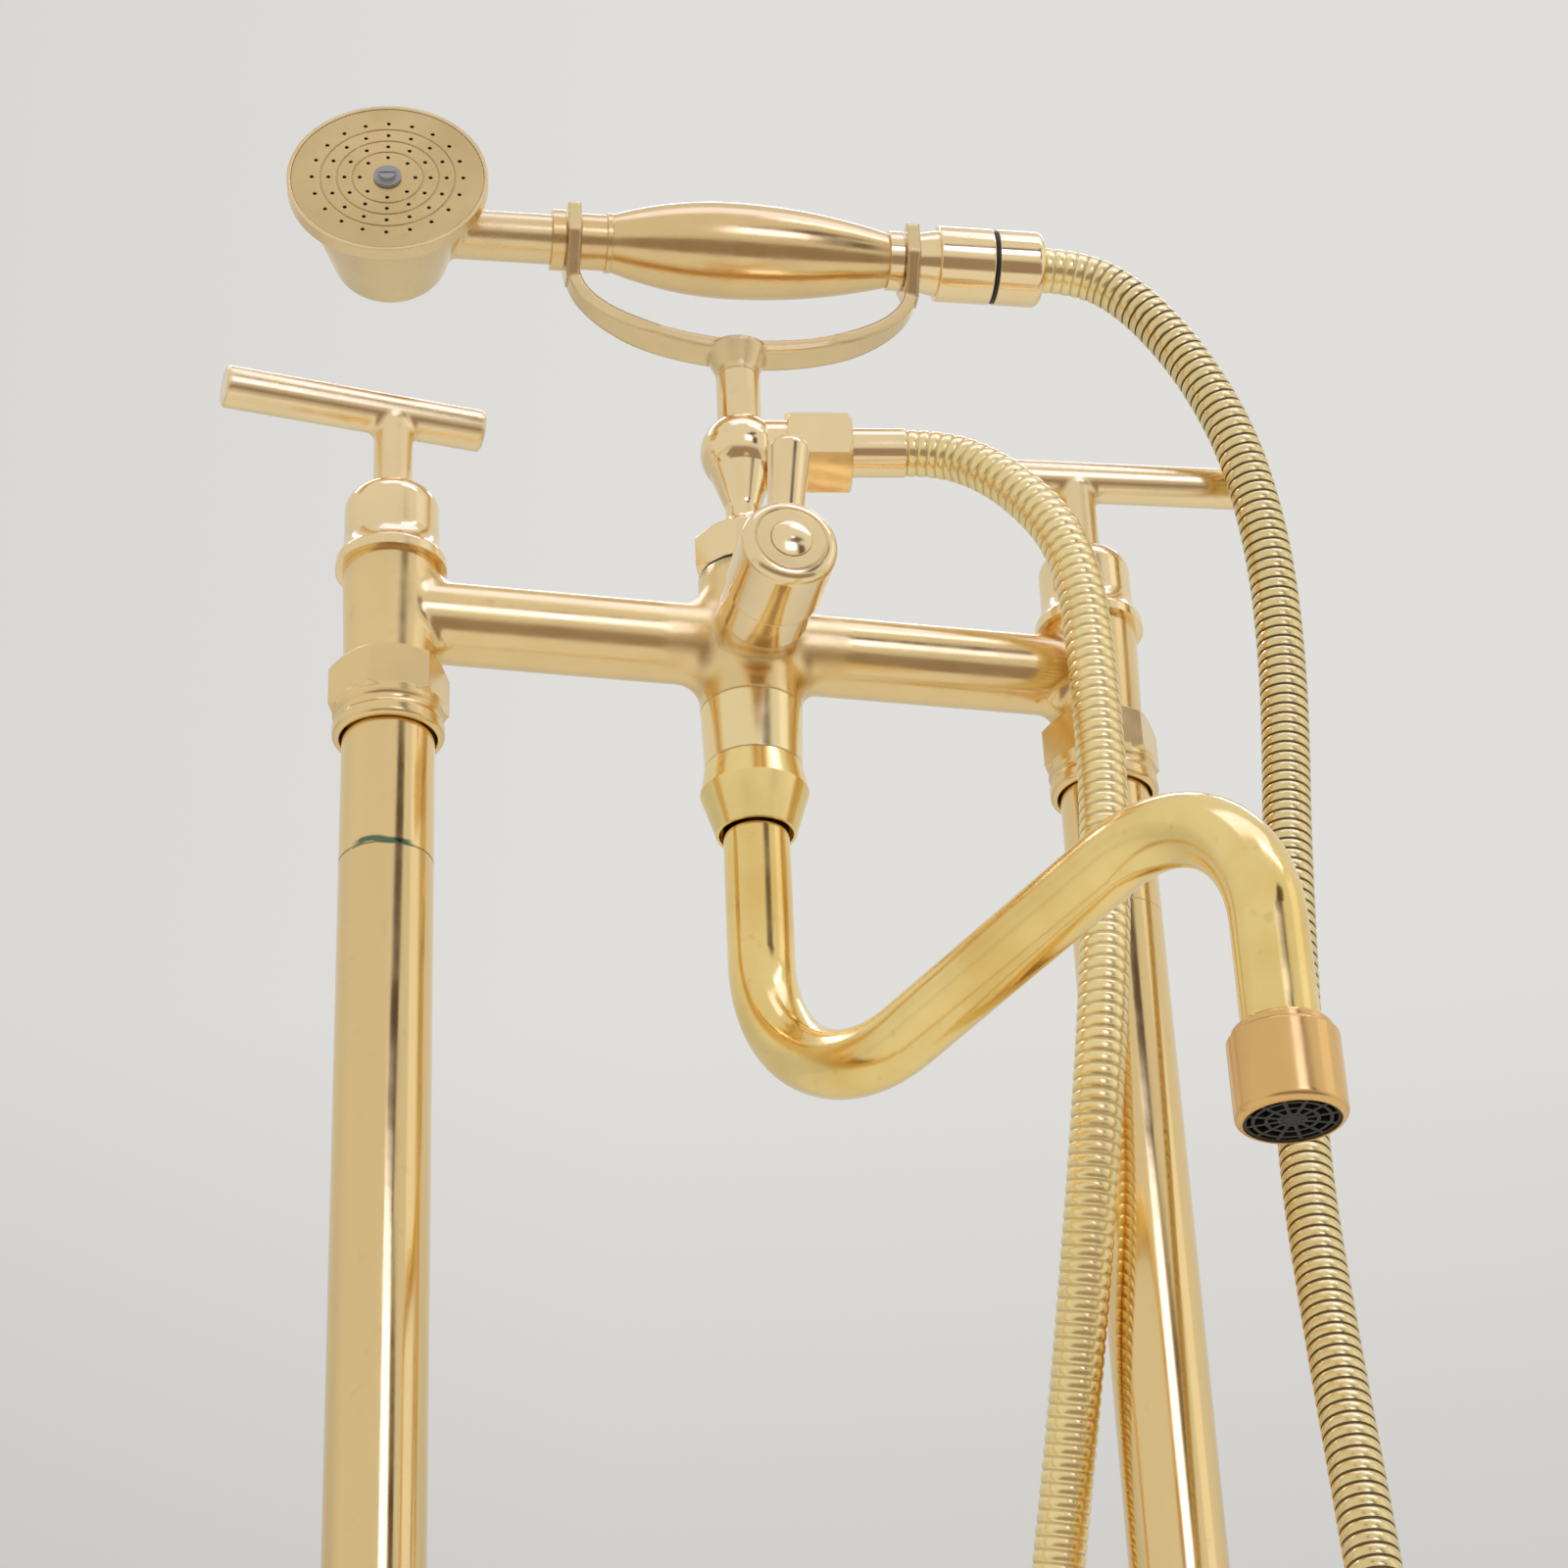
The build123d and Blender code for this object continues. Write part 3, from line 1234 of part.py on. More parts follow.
with BuildPart() as handset_tail:
    turn(
        [
            (0, grip_end),
            (ring_right_radius, grip_end),
            (ring_right_radius, right_groove_start),
            (groove_radius, right_groove_start),
            (groove_radius, right_groove_end),
            (stop_radius, right_groove_end),
            (stop_foot_radius, stop_end),
            (tail_thread_radius, stop_end),
            (tail_thread_radius, tail_thread_end),
            (0, tail_thread_end),
        ],
        handset_frame,
    )
    rod(handset_frame, tube_radius + running_gap, grip_end - cut_over, tube_end, Mode.SUBTRACT)
    rod(handset_frame, tube_bore_radius, 0, tail_thread_end + cut_over, Mode.SUBTRACT)
save(handset_tail.part, "handset_tail")

nut_wall_start = connector_end - connector_wall
with BuildPart() as handset_nut:
    turn(
        [
            (0, stop_end),
            (connector_radius, stop_end),
            (connector_radius, connector_end),
            (0, connector_end),
        ],
        handset_frame,
        rounds=[
            ((connector_radius, stop_end), connector_edge_round),
            ((connector_radius, connector_end), connector_edge_round),
        ],
    )
    rod(handset_frame, tail_thread_radius + fit_gap, 0, nut_wall_start, Mode.SUBTRACT)
    rod(handset_frame, sleeve_spigot_radius + running_gap, 0, connector_end + cut_over, Mode.SUBTRACT)
save(handset_nut.part, "handset_nut")

with BuildPart() as handset_washer:
    ring(handset_frame, tail_thread_radius, tube_bore_radius, tail_thread_end,
         tail_thread_end + connector_washer_thickness)
save(handset_washer.part, "handset_washer")

# Swivel at the hose's end
with BuildPart() as swivel_sleeve:
    turn(
        [
            (0, sleeve_spigot_start),
            (sleeve_spigot_radius, sleeve_spigot_start),
            (sleeve_spigot_radius, sleeve_start),
            (connector_radius, sleeve_start),
            (connector_radius, sleeve_end),
            (0, sleeve_end),
        ],
        handset_frame,
        rounds=[((connector_radius, sleeve_end), sleeve_end_round)],
    )
    rod(handset_frame, liner_bore_radius, 0, sleeve_end + cut_over, Mode.SUBTRACT)
save(swivel_sleeve.part, "swivel_sleeve")

with BuildPart() as swivel_seal:
    ring(handset_frame, swivel_seal_radius, sleeve_spigot_radius, sleeve_start - swivel_seal_width,
         sleeve_start)
save(swivel_seal.part, "swivel_seal")

# Shower hose and its liner
corners = [Vector(*point) for point in hose_route]
hose_bends = []
for before, corner, after in zip(corners, corners[1:], corners[2:]):
    half_turn = math.radians((corner - before).get_angle(after - corner)) / 2
    shorter_run = min((corner - before).length, (after - corner).length)
    hose_bends.append(hose_corner_share * shorter_run / math.tan(half_turn))
with BuildLine() as hose_path:
    FilletPolyline(*hose_route, radius=hose_bends)
hose_wire = hose_path.wire()
print("hose length", round(hose_wire.length, 1))
print("hose runs", [round((b - a).length) for a, b in zip(corners, corners[1:])])
print("hose bends", [round(bend) for bend in hose_bends])

hose_length = hose_wire.length
rib_pitch = (hose_length - 4 * hose_radius) / hose_rib_count
stations = [(0, hose_valley_radius)]
for rib in range(hose_rib_count):
    rib_start = 2 * hose_radius + rib * rib_pitch
    for share, rib_radius in zip(
        hose_rib_shares, (hose_valley_radius, hose_radius, hose_radius, hose_valley_radius)
    ):
        stations.append((rib_start + share * rib_pitch, rib_radius))
stations.append((hose_length, hose_valley_radius))
with BuildPart() as hose:
    steady = Vector(0, 0, 1)
    for distance, section_radius in stations:
        heading = hose_wire.tangent_at(distance / hose_length)
        steady = (steady - heading * steady.dot(heading)).normalized()
        place = Plane(origin=hose_wire.position_at(distance / hose_length), x_dir=steady, z_dir=heading)
        with BuildSketch(place):
            Circle(section_radius)
    loft(ruled=True)
    start_plane = Plane(origin=corners[0], z_dir=hose_wire.tangent_at(0))
    with BuildSketch(start_plane) as bore_section:
        Circle(hose_bore_radius)
    sweep(bore_section.sketch, path=hose_wire, mode=Mode.SUBTRACT)
save(hose.part, "hose")

with BuildPart() as hose_liner:
    with BuildSketch(start_plane) as liner_section:
        Circle(liner_radius)
        Circle(liner_bore_radius, mode=Mode.SUBTRACT)
    sweep(liner_section.sketch, path=hose_wire)
save(hose_liner.part, "hose_liner")
liner_area = math.pi * (liner_radius**2 - liner_bore_radius**2)
print("liner volume", round(hose_liner.part.volume), "section by length", round(liner_area * hose_length))
print("hose volume", round(hose.part.volume), "least bend", round(min(hose_bends), 1))
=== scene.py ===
"""Looks of the brass bath shower mixer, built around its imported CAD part. Metres, in the row frame."""

import math

import bpy
from mathutils import Matrix, Vector


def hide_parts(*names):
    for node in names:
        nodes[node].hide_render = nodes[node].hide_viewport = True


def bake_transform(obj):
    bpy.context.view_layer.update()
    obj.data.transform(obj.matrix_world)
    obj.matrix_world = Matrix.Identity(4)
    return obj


# Camera of the photograph
CAMERA_PLACE = (-0.2013, -0.8566, 0.2805)
CAMERA_YAW = math.radians(13.75)
CAMERA_PITCH = math.radians(30.85)
CAMERA_ROLL = math.radians(-2.61)
CAMERA_LENS = 86.45
SENSOR_WIDTH = 36.0

# Places on the part
BAR_HEIGHT = 0.850
SEAM_HEIGHT = BAR_HEIGHT - 0.0774
SPIGOT_TOP = BAR_HEIGHT - 0.0205
SPIGOT_REACH = 0.030
BOSS_REACH = 0.024
STREAK_LEFT = -0.108
STREAK_RIGHT = -0.096
# Painted shade on the hose: across this X range its colour goes over to a darker copy on the outer strand.
HOSE_SHADE_FROM = (0.100, 0.118)

# Seam of the leg: its line, the duller tone below it and the streak of verdigris on it
SEAM_STEP = 0.0005
LINE_WIDTH = 0.0003
LINE_STRENGTH = 0.75
DULL_STRENGTH = 0.35
DULL_SHARE = 0.84
STREAK_WIDTH = 0.0010
STREAK_EDGE = 0.0006
STREAK_FADE = 0.002
WOBBLE = 0.0010
WOBBLE_SCALE = 70.0
WOBBLE_RANGE = (0.3, 0.7)

# Spigot and boss of the casting
SPIGOT_STEP = 0.0002
SPIGOT_EDGE = 0.001
BLEND_WIDTH = 0.004

# Radius at which shading rounds the edges, and the samples for it
EDGE_SAMPLES = 4
EDGE_SOFTNESS = 0.0005
FORK_SOFTNESS = 0.0016
HANDLE_SOFTNESS = 0.0020
BOSS_SOFTNESS = 0.0045

# Wear of the brass: scale and detail of each noise, and the range of it that shows
CLOUD_SCALE = 38.0
CLOUD_DETAIL = 4.0
CLOUD_RANGE = (0.36, 0.68)
CLOUD_SHARE = 0.93
LEG_SHARE = 0.94
DULLER_SHARE = 0.88
SPOT_SCALE = 210.0
SPOT_RANGE = (0.64, 0.80)
SPOT_SHARE = 0.95
SMUDGE_SCALE = 75.0
SMUDGE_DETAIL = 5.0
SMUDGE_RANGE = (0.35, 0.70)
RIPPLE_SCALE = 130.0
RIPPLE_DETAIL = 2.0
RIPPLE_DEPTH = 0.0006
EVEN = (1.0, 1.0, 1.0)
DRAWN = (1.0, 1.0, 0.12)
LEG_ROUGH = (0.10, 0.17)
LEG_RIPPLE = 0.03
CAST_ROUGH = (0.16, 0.27)
CAST_RIPPLE = 0.06
HOSE_RIPPLE = 0.02

# Hose
HOSE_RADIUS = 0.00675
HOSE_GROOVE = 0.00630
HOSE_SHOULDER = 0.00658
BAND_PITCH = 0.00334
BAND_SHARES = (0.0, 0.13, 0.32, 0.71, 0.88)
BAND_RADII = (HOSE_GROOVE, HOSE_SHOULDER, HOSE_RADIUS, HOSE_RADIUS, HOSE_SHOULDER)
GROOVE_STEPS = (0, len(BAND_SHARES) - 1)
HOSE_SIDES = 32
LINE_STEPS = 24
HOSE_ROUTE = [
    (0.0470, -0.0074, 0.9175),
    (0.0575, -0.0092, 0.9174),
    (0.0695, -0.0165, 0.9075),
    (0.0800, -0.0217, 0.8935),
    (0.0868, -0.0247, 0.8795),
    (0.0902, -0.0256, 0.8630),
    (0.0912, -0.0253, 0.8380),
    (0.0913, -0.0250, 0.8050),
    (0.0893, -0.0250, 0.7700),
    (0.0858, -0.0245, 0.7350),
    (0.0815, -0.0190, 0.6940),
    (0.0785, -0.0030, 0.6480),
    (0.0755, 0.0120, 0.6080),
    (0.0700, 0.0240, 0.5620),
    (0.0665, 0.0310, 0.4900),
    (0.0645, 0.0330, 0.4170),
    (0.0620, 0.0280, 0.3550),
    (0.0625, 0.0120, 0.3110),
    (0.0675, -0.0150, 0.2840),
    (0.0770, -0.0430, 0.2780),
    (0.0920, -0.0670, 0.2910),
    (0.1055, -0.0820, 0.3260),
    (0.1145, -0.0880, 0.3850),
    (0.1180, -0.0860, 0.4550),
    (0.1210, -0.0785, 0.5250),
    (0.1235, -0.0660, 0.5800),
    (0.1265, -0.0520, 0.6300),
    (0.1295, -0.0400, 0.6800),
    (0.1360, -0.0310, 0.7330),
    (0.1425, -0.0240, 0.7880),
    (0.1470, -0.0215, 0.8230),
    (0.1492, -0.0205, 0.8500),
    (0.1496, -0.0205, 0.8750),
    (0.1482, -0.0205, 0.8970),
    (0.1448, -0.0200, 0.9200),
    (0.1390, -0.0180, 0.9410),
    (0.1305, -0.0148, 0.9620),
    (0.1190, -0.0108, 0.9810),
    (0.1060, -0.0076, 0.9912),
    (0.0934, -0.00653, 0.9913),
]

# Colours, linear
LEG_GOLD = (0.91, 0.675, 0.330)
CAST_GOLD = (0.91, 0.680, 0.340)
YELLOW_GOLD = (0.99, 0.765, 0.325)
DEEP_GOLD = (0.88, 0.620, 0.215)
PALE_GOLD = (0.98, 0.770, 0.450)
TURNED_YELLOW = (0.98, 0.790, 0.430)
ROSE_GOLD = (0.74, 0.545, 0.260)
SHELL_GOLD = (0.87, 0.670, 0.370)
GRIP_GOLD = (0.85, 0.620, 0.310)
HOUSING_GOLD = (0.86, 0.545, 0.215)
# Hose tones are painted light: the inner strand is painted lighter, the outer strand is painted in shade, and
# the groove faces are painted darker as shade in the grooves, deepest on the outer strand.
HOSE_LIT_GOLD = (0.99, 0.800, 0.400)
HOSE_SHADED_GOLD = (0.85, 0.675, 0.335)
GROOVE_SHADE_GOLD = (0.80, 0.630, 0.310)
GROOVE_SHADE_BROWN = (0.15, 0.100, 0.040)
LINE_BROWN = (0.34, 0.250, 0.110)
PATINA_GREEN = (0.13, 0.200, 0.120)
RUBBER_BLACK = (0.012, 0.012, 0.012)
PLASTIC_BLACK = (0.011, 0.010, 0.009)
SCREW_STEEL = (0.52, 0.510, 0.490)
WASHER_GREY = (0.30, 0.290, 0.300)
CERAMIC_WHITE = (0.85, 0.840, 0.800)
BLACK = (0.0, 0.0, 0.0)
BACKDROP = (0.745, 0.737, 0.708)
FLOOR = (0.86, 0.850, 0.820)
DARK_CARD = (0.10, 0.065, 0.050)
LOW_CARD = (0.32, 0.250, 0.205)
WINDOW = (0.95, 1.0, 1.50)

# Fall-off of the backdrop behind the part: where it sets in and what it leaves of the light
LOW_FALL = (0.32, 0.46)
LOW_SHARE = 0.84
LEFT_FALL = (-0.02, 0.17)
LEFT_SHARE = 0.93
BEHIND_FROM = (0.0, 0.5)

# Cards that only the metal mirrors: colour, strength and corners
CARDS = {
    "dark_high": (
        DARK_CARD,
        1.0,
        [(0.10, -2.6, 1.9), (0.95, -2.6, 1.9), (1.80, -2.6, 2.75), (1.0, -2.6, 2.75)],
    ),
    "dark_side": (
        DARK_CARD,
        1.0,
        [(0.98, -2.6, 0.9), (1.65, -2.6, 0.9), (1.65, -2.6, 1.9), (0.98, -2.6, 1.9)],
    ),
    "window": (
        WINDOW,
        2.7,
        [(0.05, -2.65, 1.25), (0.8, -2.65, 1.25), (0.8, -2.65, 1.9), (0.05, -2.65, 1.9)],
    ),
    "tube": (
        WINDOW,
        5.5,
        [(0.45, -1.36, 2.95), (1.9, -1.36, 2.95), (1.9, -1.22, 2.95), (0.45, -1.22, 2.95)],
    ),
    "tube_back": (
        WINDOW,
        5.0,
        [(-1.6, 1.1, 3.0), (1.6, 1.1, 3.0), (1.6, 1.32, 3.0), (-1.6, 1.32, 3.0)],
    ),
    "ceiling": (
        WINDOW,
        1.3,
        [(-0.8, -1.2, 3.05), (1.4, -1.2, 3.05), (1.4, -0.3, 3.05), (-0.8, -0.3, 3.05)],
    ),
    "low_front": (
        LOW_CARD,
        1.0,
        [(-1.6, -0.8, 0.02), (1.6, -0.8, 0.02), (1.6, -2.2, 0.4), (-1.6, -2.2, 0.4)],
    ),
}

# Lamps: place, width, depth, radiance, and whether the metal mirrors them
LAMPS = {
    "soft_top": ((0.3, -0.75, 3.0), 2.2, 1.0, 2.40, False),
    "soft_left": ((-2.6, -0.9, 1.7), 2.0, 2.0, 0.30, False),
    "soft_right": ((2.6, -1.2, 1.9), 1.2, 1.8, 0.22, True),
}
LAMP_AIM = (0.0, 0.0, 0.8)
FLOOR_REACH = 6.0

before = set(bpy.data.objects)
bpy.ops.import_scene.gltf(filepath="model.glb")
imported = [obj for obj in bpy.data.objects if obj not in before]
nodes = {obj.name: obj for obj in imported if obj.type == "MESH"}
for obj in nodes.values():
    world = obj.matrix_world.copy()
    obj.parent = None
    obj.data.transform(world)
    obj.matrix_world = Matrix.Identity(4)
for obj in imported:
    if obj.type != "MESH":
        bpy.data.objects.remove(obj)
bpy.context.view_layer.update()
scene = bpy.context.scene


def new_material(name):
    """A new material and its Principled shader."""
    material = bpy.data.materials.new(name)
    material.use_nodes = True
    return material, material.node_tree.nodes["Principled BSDF"]


def noise(tree, place, scale, detail=3.0, stretch=EVEN):
    """The factor output of a noise texture in object space."""
    mapping = tree.nodes.new("ShaderNodeMapping")
    mapping.inputs["Scale"].default_value = stretch
    texture = tree.nodes.new("ShaderNodeTexNoise")
    texture.inputs["Scale"].default_value = scale
    texture.inputs["Detail"].default_value = detail
    tree.links.new(place.outputs["Object"], mapping.inputs["Vector"])
    tree.links.new(mapping.outputs["Vector"], texture.inputs["Vector"])
    return texture.outputs["Fac"]


def spread(tree, factor, low, high, out_low=0.0, out_high=1.0):
    """Maps the factor from low..high to out_low..out_high, clamped."""
    node = tree.nodes.new("ShaderNodeMapRange")
    node.inputs["From Min"].default_value = low
    node.inputs["From Max"].default_value = high
    node.inputs["To Min"].default_value = out_low
    node.inputs["To Max"].default_value = out_high
    tree.links.new(factor, node.inputs["Value"])
    return node.outputs["Result"]


def blend_colour(tree, factor, first, second):
    """Mixes two colours or colour outputs by the factor."""
    node = tree.nodes.new("ShaderNodeMix")
    node.data_type = "RGBA"
    tree.links.new(factor, node.inputs["Factor"])
    for socket, value in ((node.inputs["A"], first), (node.inputs["B"], second)):
        if isinstance(value, tuple):
            socket.default_value = (*value, 1.0)
        else:
            tree.links.new(value, socket)
    return node.outputs["Result"]


def shade(colour, share):
    """A colour made darker or lighter by a share."""
    return tuple(min(1.0, channel * share) for channel in colour)


def brass(name, colour, rough, ripple, second=CLOUD_SHARE, stretch=EVEN, soft=EDGE_SOFTNESS):
    """Worn polished brass: cloudy tarnish, smudges, softened edges and a faint unevenness of the polish.

    The clouds have the second colour or, where that is a number, this share of the first.
    """
    material, shader = new_material(name)
    tree = material.node_tree
    place = tree.nodes.new("ShaderNodeTexCoord")
    tone = second if isinstance(second, tuple) else shade(colour, second)
    clouds = spread(tree, noise(tree, place, CLOUD_SCALE, CLOUD_DETAIL, stretch), *CLOUD_RANGE)
    toned = blend_colour(tree, clouds, colour, tone)
    spots = spread(tree, noise(tree, place, SPOT_SCALE), *SPOT_RANGE)
    spotted = blend_colour(tree, spots, toned, shade(tone, SPOT_SHARE))
    tree.links.new(spotted, shader.inputs["Base Color"])
    smudges = spread(tree, noise(tree, place, SMUDGE_SCALE, SMUDGE_DETAIL), *SMUDGE_RANGE, *rough)
    tree.links.new(smudges, shader.inputs["Roughness"])
    shader.inputs["Metallic"].default_value = 1.0
    edges = tree.nodes.new("ShaderNodeBevel")
    edges.samples = EDGE_SAMPLES
    edges.inputs["Radius"].default_value = soft
    bump = tree.nodes.new("ShaderNodeBump")
    bump.inputs["Strength"].default_value = ripple
    bump.inputs["Distance"].default_value = RIPPLE_DEPTH
    tree.links.new(noise(tree, place, RIPPLE_SCALE, RIPPLE_DETAIL), bump.inputs["Height"])
    tree.links.new(edges.outputs["Normal"], bump.inputs["Normal"])
    tree.links.new(bump.outputs["Normal"], shader.inputs["Normal"])
    return material


def plain(name, colour, roughness, metallic=0.0):
    """A finish of one even colour."""
    material, shader = new_material(name)
    shader.inputs["Base Color"].default_value = (*colour, 1.0)
    shader.inputs["Roughness"].default_value = roughness
    shader.inputs["Metallic"].default_value = metallic
    return material


def combine(tree, operation, first, second):
    """A math node of two outputs or numbers."""
    node = tree.nodes.new("ShaderNodeMath")
    node.operation = operation
    for socket, value in zip(node.inputs, (first, second)):
        if isinstance(value, float):
            socket.default_value = value
        else:
            tree.links.new(value, socket)
    return node.outputs["Value"]


def axes(tree, place, output="Object"):
    """The coordinate's separate X, Y and Z."""
    parts = tree.nodes.new("ShaderNodeSeparateXYZ")
    tree.links.new(place.outputs[output], parts.inputs["Vector"])
    return parts.outputs


def base_colour(material):
    """The tree, shader, coordinate node and colour output of a brass."""
    tree = material.node_tree
    shader = tree.nodes["Principled BSDF"]
    return tree, shader, tree.nodes["Texture Coordinate"], shader.inputs["Base Color"].links[0].from_socket


def between(tree, value, low, high, edge):
    """1 between low and high, falling to 0 over the edge on both sides."""
    above = spread(tree, value, low - edge, low)
    below = spread(tree, value, high, high + edge, 1.0, 0.0)
    return combine(tree, "MULTIPLY", above, below)


def in_front(tree, y):
    """1 on the front half, falling to 0 over the blend's width before the middle."""
    return spread(tree, y, -BLEND_WIDTH, 0.0, 1.0, 0.0)


def patina_brass(name):
    """Leg brass with a fine line at its seam, a streak of verdigris in front and a duller tone below."""
    material = brass(name, LEG_GOLD, LEG_ROUGH, LEG_RIPPLE, LEG_SHARE, DRAWN)
    tree, shader, place, toned = base_colour(material)
    x, y, z = axes(tree, place)
    below = spread(tree, z, SEAM_HEIGHT - SEAM_STEP, SEAM_HEIGHT, 1.0, 0.0)
    dull = combine(tree, "MULTIPLY", below, DULL_STRENGTH)
    dulled = blend_colour(tree, dull, toned, shade(LEG_GOLD, DULL_SHARE))
    seam = between(tree, z, SEAM_HEIGHT, SEAM_HEIGHT + LINE_WIDTH, LINE_WIDTH)
    lined = blend_colour(tree, combine(tree, "MULTIPLY", seam, LINE_STRENGTH), dulled, LINE_BROWN)
    wobble = spread(tree, noise(tree, place, WOBBLE_SCALE), *WOBBLE_RANGE, -WOBBLE, WOBBLE)
    wavy = combine(tree, "ADD", z, wobble)
    streak = between(tree, wavy, SEAM_HEIGHT, SEAM_HEIGHT + STREAK_WIDTH, STREAK_EDGE)
    ahead = combine(tree, "MULTIPLY", between(tree, x, STREAK_LEFT, STREAK_RIGHT, STREAK_FADE), streak)
    front = combine(tree, "MULTIPLY", ahead, in_front(tree, y))
    tree.links.new(blend_colour(tree, front, lined, PATINA_GREEN), shader.inputs["Base Color"])
    return material


def bridge_brass(name):
    """Cast brass with a yellower turned spigot below its groove, and a soft crossing in front above it."""
    material = brass(name, CAST_GOLD, CAST_ROUGH, CAST_RIPPLE)
    tree, shader, place, toned = base_colour(material)
    x, y, z = axes(tree, place)
    low = spread(tree, z, SPIGOT_TOP - SPIGOT_STEP, SPIGOT_TOP, 1.0, 0.0)
    near = between(tree, x, -SPIGOT_REACH, SPIGOT_REACH, SPIGOT_EDGE)
    spigot = combine(tree, "MULTIPLY", low, near)
    tree.links.new(blend_colour(tree, spigot, toned, TURNED_YELLOW), shader.inputs["Base Color"])
    upper = spread(tree, z, SPIGOT_TOP, SPIGOT_TOP + BLEND_WIDTH)
    upper_front = combine(tree, "MULTIPLY", upper, in_front(tree, y))
    middle = between(tree, x, -BOSS_REACH, BOSS_REACH, BLEND_WIDTH)
    crossing = combine(tree, "MULTIPLY", upper_front, middle)
    radius = spread(tree, crossing, 0.0, 1.0, EDGE_SOFTNESS, BOSS_SOFTNESS)
    tree.links.new(radius, tree.nodes["Bevel"].inputs["Radius"])
    return material


def hose_brass(name, near, shaded_colour, rough):
    """Hose brass, with painted shade: a darker copy of its colour on the outer side of the loop."""
    material = brass(name, near, rough, HOSE_RIPPLE)
    tree, shader, place, toned = base_colour(material)
    shaded_side = spread(tree, axes(tree, place)["X"], *HOSE_SHADE_FROM)
    tree.links.new(blend_colour(tree, shaded_side, toned, shaded_colour), shader.inputs["Base Color"])
    return material


def make_camera():
    """The photograph's camera."""
    forward = Vector((
        math.sin(CAMERA_YAW) * math.cos(CAMERA_PITCH),
        math.cos(CAMERA_YAW) * math.cos(CAMERA_PITCH),
        math.sin(CAMERA_PITCH),
    ))
    level = Vector((math.cos(CAMERA_YAW), -math.sin(CAMERA_YAW), 0.0))
    upright = level.cross(forward)
    right = math.cos(CAMERA_ROLL) * level + math.sin(CAMERA_ROLL) * upright
    up = -math.sin(CAMERA_ROLL) * level + math.cos(CAMERA_ROLL) * upright
    data = bpy.data.cameras.new("photo_camera")
    data.lens = CAMERA_LENS
    data.sensor_width = SENSOR_WIDTH
    camera = bpy.data.objects.new("photo_camera", data)
    scene.collection.objects.link(camera)
    turn = Matrix((right, up, -forward)).transposed().to_4x4()
    camera.matrix_world = Matrix.Translation(CAMERA_PLACE) @ turn
    scene.camera = camera


def make_mesh(name, corners, faces, smooth):
    """A mesh object from its corners and faces."""
    mesh = bpy.data.meshes.new(name)
    mesh.from_pydata(corners, [], faces)
    mesh.polygons.foreach_set("use_smooth", [smooth] * len(mesh.polygons))
    mesh.update()
    piece = bpy.data.objects.new(name, mesh)
    scene.collection.objects.link(piece)
    return piece


def make_sheet(name, corners, material):
    """A flat four-cornered piece of the studio."""
    piece = make_mesh(name, corners, [(0, 1, 2, 3)], False)
    piece.data.materials.append(material)
    return piece


def hose_line():
    """Points along the NURBS spline of the hose's route."""
    data = bpy.data.curves.new("hose_line", "CURVE")
    data.dimensions = "3D"
    spline = data.splines.new("NURBS")
    spline.points.add(len(HOSE_ROUTE) - 1)
    for point, place in zip(spline.points, HOSE_ROUTE):
        point.co = (*place, 1.0)
    spline.order_u = 3
    spline.use_endpoint_u = True
    spline.resolution_u = LINE_STEPS
    holder = bpy.data.objects.new("hose_line", data)
    scene.collection.objects.link(holder)
    bpy.context.view_layer.update()
    mesh = bpy.data.meshes.new_from_object(holder)
    points = [vertex.co.copy() for vertex in mesh.vertices]
    bpy.data.objects.remove(holder)
    return points


def stations(points, places):
    """The point and direction of the line at each distance along it."""
    found = []
    walked = 0.0
    run = 0
    for place in places:
        step = (points[run + 1] - points[run]).length
        while walked + step < place and run < len(points) - 2:
            walked += step
            run += 1
            step = (points[run + 1] - points[run]).length
        direction = (points[run + 1] - points[run]).normalized()
        found.append((points[run] + direction * (place - walked), direction))
    return found


def make_hose():
    """The banded hose: a mesh tube with one rounded band and one groove for every pitch."""
    line = hose_line()
    length = sum((b - a).length for a, b in zip(line, line[1:]))
    bands = round(length / BAND_PITCH)
    pitch = length / bands
    places = [(band + share) * pitch for band in range(bands) for share in BAND_SHARES] + [length]
    radii = BAND_RADII * bands + (HOSE_GROOVE,)
    side = Vector((0.0, 0.0, 1.0))
    corners = []
    for (centre, direction), radius in zip(stations(line, places), radii):
        side = (side - direction * side.dot(direction)).normalized()
        across = direction.cross(side)
        for turn in range(HOSE_SIDES):
            angle = math.tau * turn / HOSE_SIDES
            corners.append(centre + radius * (math.cos(angle) * side + math.sin(angle) * across))
    faces = []
    groove = []
    for ring in range(len(places) - 1):
        base = ring * HOSE_SIDES
        ahead = base + HOSE_SIDES
        for turn in range(HOSE_SIDES):
            after = (turn + 1) % HOSE_SIDES
            faces.append((base + turn, ahead + turn, ahead + after, base + after))
            groove.append(int(ring % len(BAND_SHARES) in GROOVE_STEPS))
    hose = make_mesh("banded_hose", corners, faces, True)
    # The groove faces get the second, darker brass: painted shade in the grooves.
    hose.data.materials.append(finishes["hose"])
    hose.data.materials.append(finishes["groove"])
    hose.data.polygons.foreach_set("material_index", groove)
    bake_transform(hose)
    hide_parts("hose", "hose_liner")


def dress(material, *names):
    """Gives the CAD nodes this material."""
    for name in names:
        slots = nodes[name].data.materials
        slots.clear()
        slots.append(material)


def make_card(name, colour, strength, corners):
    """A flat card that the polished metal mirrors and the camera doesn't see."""
    material, shader = new_material(name)
    shader.inputs["Base Color"].default_value = (*BLACK, 1.0)
    shader.inputs["Specular IOR Level"].default_value = 0.0
    shader.inputs["Emission Color"].default_value = (*colour, 1.0)
    shader.inputs["Emission Strength"].default_value = strength
    piece = make_sheet(name, corners, material)
    piece.visible_camera = False
    piece.visible_diffuse = False
    piece.visible_shadow = False


